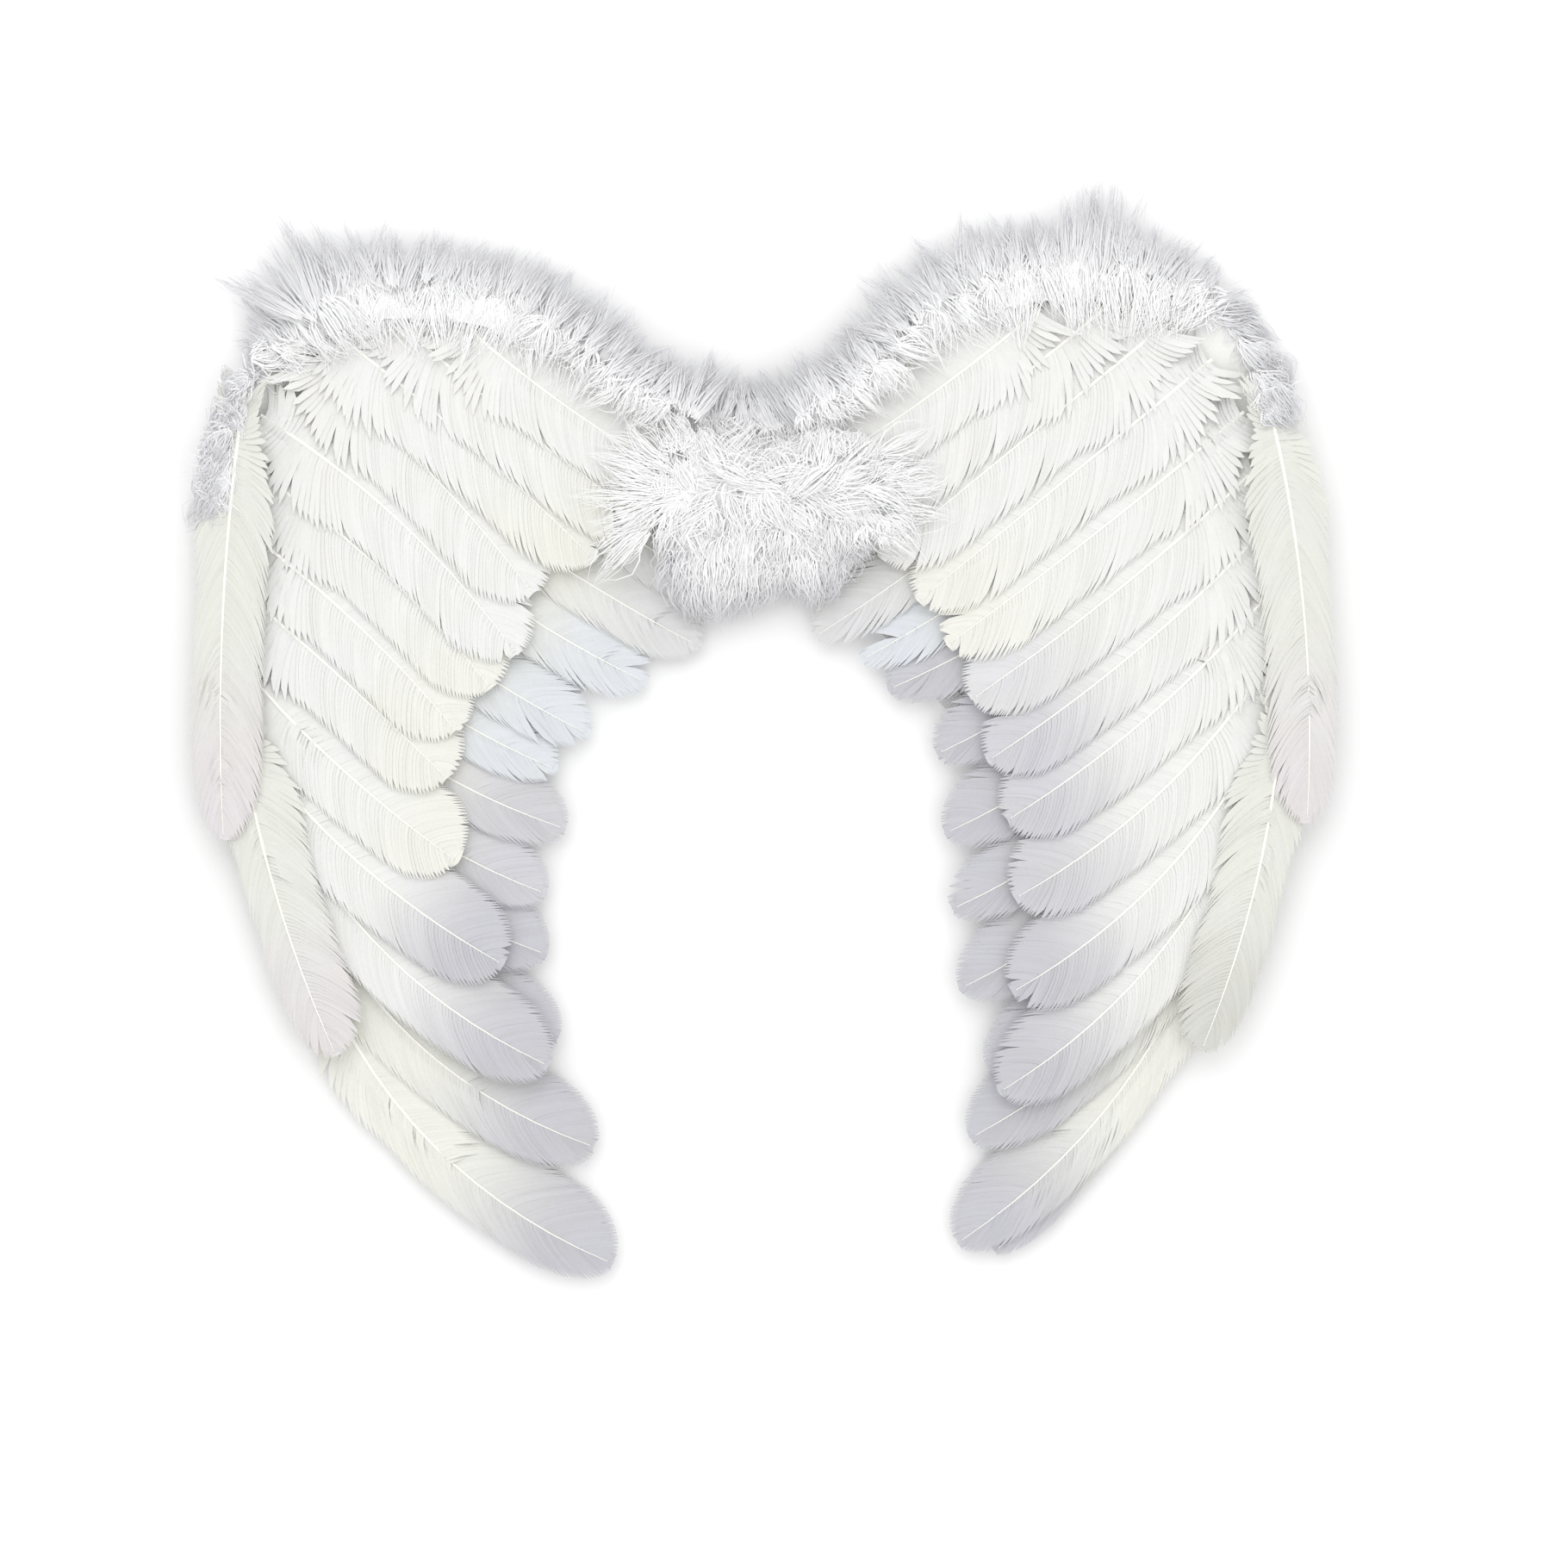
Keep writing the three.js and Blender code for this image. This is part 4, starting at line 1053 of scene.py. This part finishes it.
def boxStitch(inner, outer, turn):
    inset = strap["stitchInset"]
    low, high = sorted((turn * inner, turn * outer))
    corners = [(inset, low + inset), (strap["padLength"] - inset, low + inset),
               (strap["padLength"] - inset, high - inset), (inset, high - inset)]
    runs = [(corners[i], corners[(i + 1) % 4]) for i in range(4)]
    runs += [(corners[0], corners[2]), (corners[1], corners[3])]
    stitches = []
    for start, end in runs:
        start, end = Vector((*start, strap["thread"])), Vector((*end, strap["thread"]))
        count = max(round((end - start).length / strap["stitch"]), 2)
        for i in range(count):
            stitches.append(addStitch(start.lerp(end, i / count), start.lerp(end, (i + 1) / count)))
    return stitches


def makeStrap(node, side):
    outer = (strap["spacing"] + strap["width"]) / 2
    inner = (strap["spacing"] - strap["width"]) / 2
    length, width, floor = strap["length"], strap["width"], strap["ribHeight"]
    thick = strap["thickness"]
    upper = thick * strap["sunk"]
    parts = [addBar((length - width, -inner, floor), (length, inner, thick), strap["bevel"])]
    for turn in (-1, 1):
        low, high = sorted((turn * inner, turn * outer))
        corner = (length - width / 2, turn * (inner + outer) / 2, 0)
        parts.append(cutCorner(addBar((0, low, floor), (length, high, thick), strap["bevel"]),
                               corner, (1, turn, 0)))
        fold = addBar((length - width, low, upper), (length, high, 2 * thick), strap["foldBevel"])
        parts.append(cutCorner(fold, corner, (1, turn, 0)))
        parts.append(addBar((0, low, upper), (strap["padLength"], high, strap["padHeight"]),
                            strap["padBevel"]))
        parts.append(ribs(inner + strap["selvedge"], outer - strap["selvedge"], turn))
        parts += boxStitch(inner, outer, turn)
    piece = joinInto(applyAll(parts[0]), [applyAll(part) for part in parts[1:]])
    piece.name = "woven_" + node
    bpy.context.view_layer.objects.active = piece
    piece.select_set(True)
    bpy.ops.object.mode_set(mode="EDIT")
    bpy.ops.mesh.select_all(action="SELECT")
    bpy.ops.mesh.normals_make_consistent(inside=False)
    bpy.ops.object.mode_set(mode="OBJECT")
    angle = -strap["angle"] if side > 0 else math.pi + strap["angle"]
    piece.rotation_euler = (0, 0, angle)
    bpy.ops.object.transform_apply(location=True, rotation=True, scale=True)
    low = np.array([vertex.co[:] for vertex in piece.data.vertices]).min(axis=0)
    piece.location = Vector(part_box(node)[0]) - Vector(low)
    bpy.ops.object.transform_apply(location=True, rotation=True, scale=True)
    piece.data.materials.clear()
    piece.data.materials.append(wovenElastic(angle))
    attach(piece, "root")
    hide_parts(node)


makeStrap("elastic_strap_left", leftSide)
makeStrap("elastic_strap_right", rightSide)
print("board and straps finished")
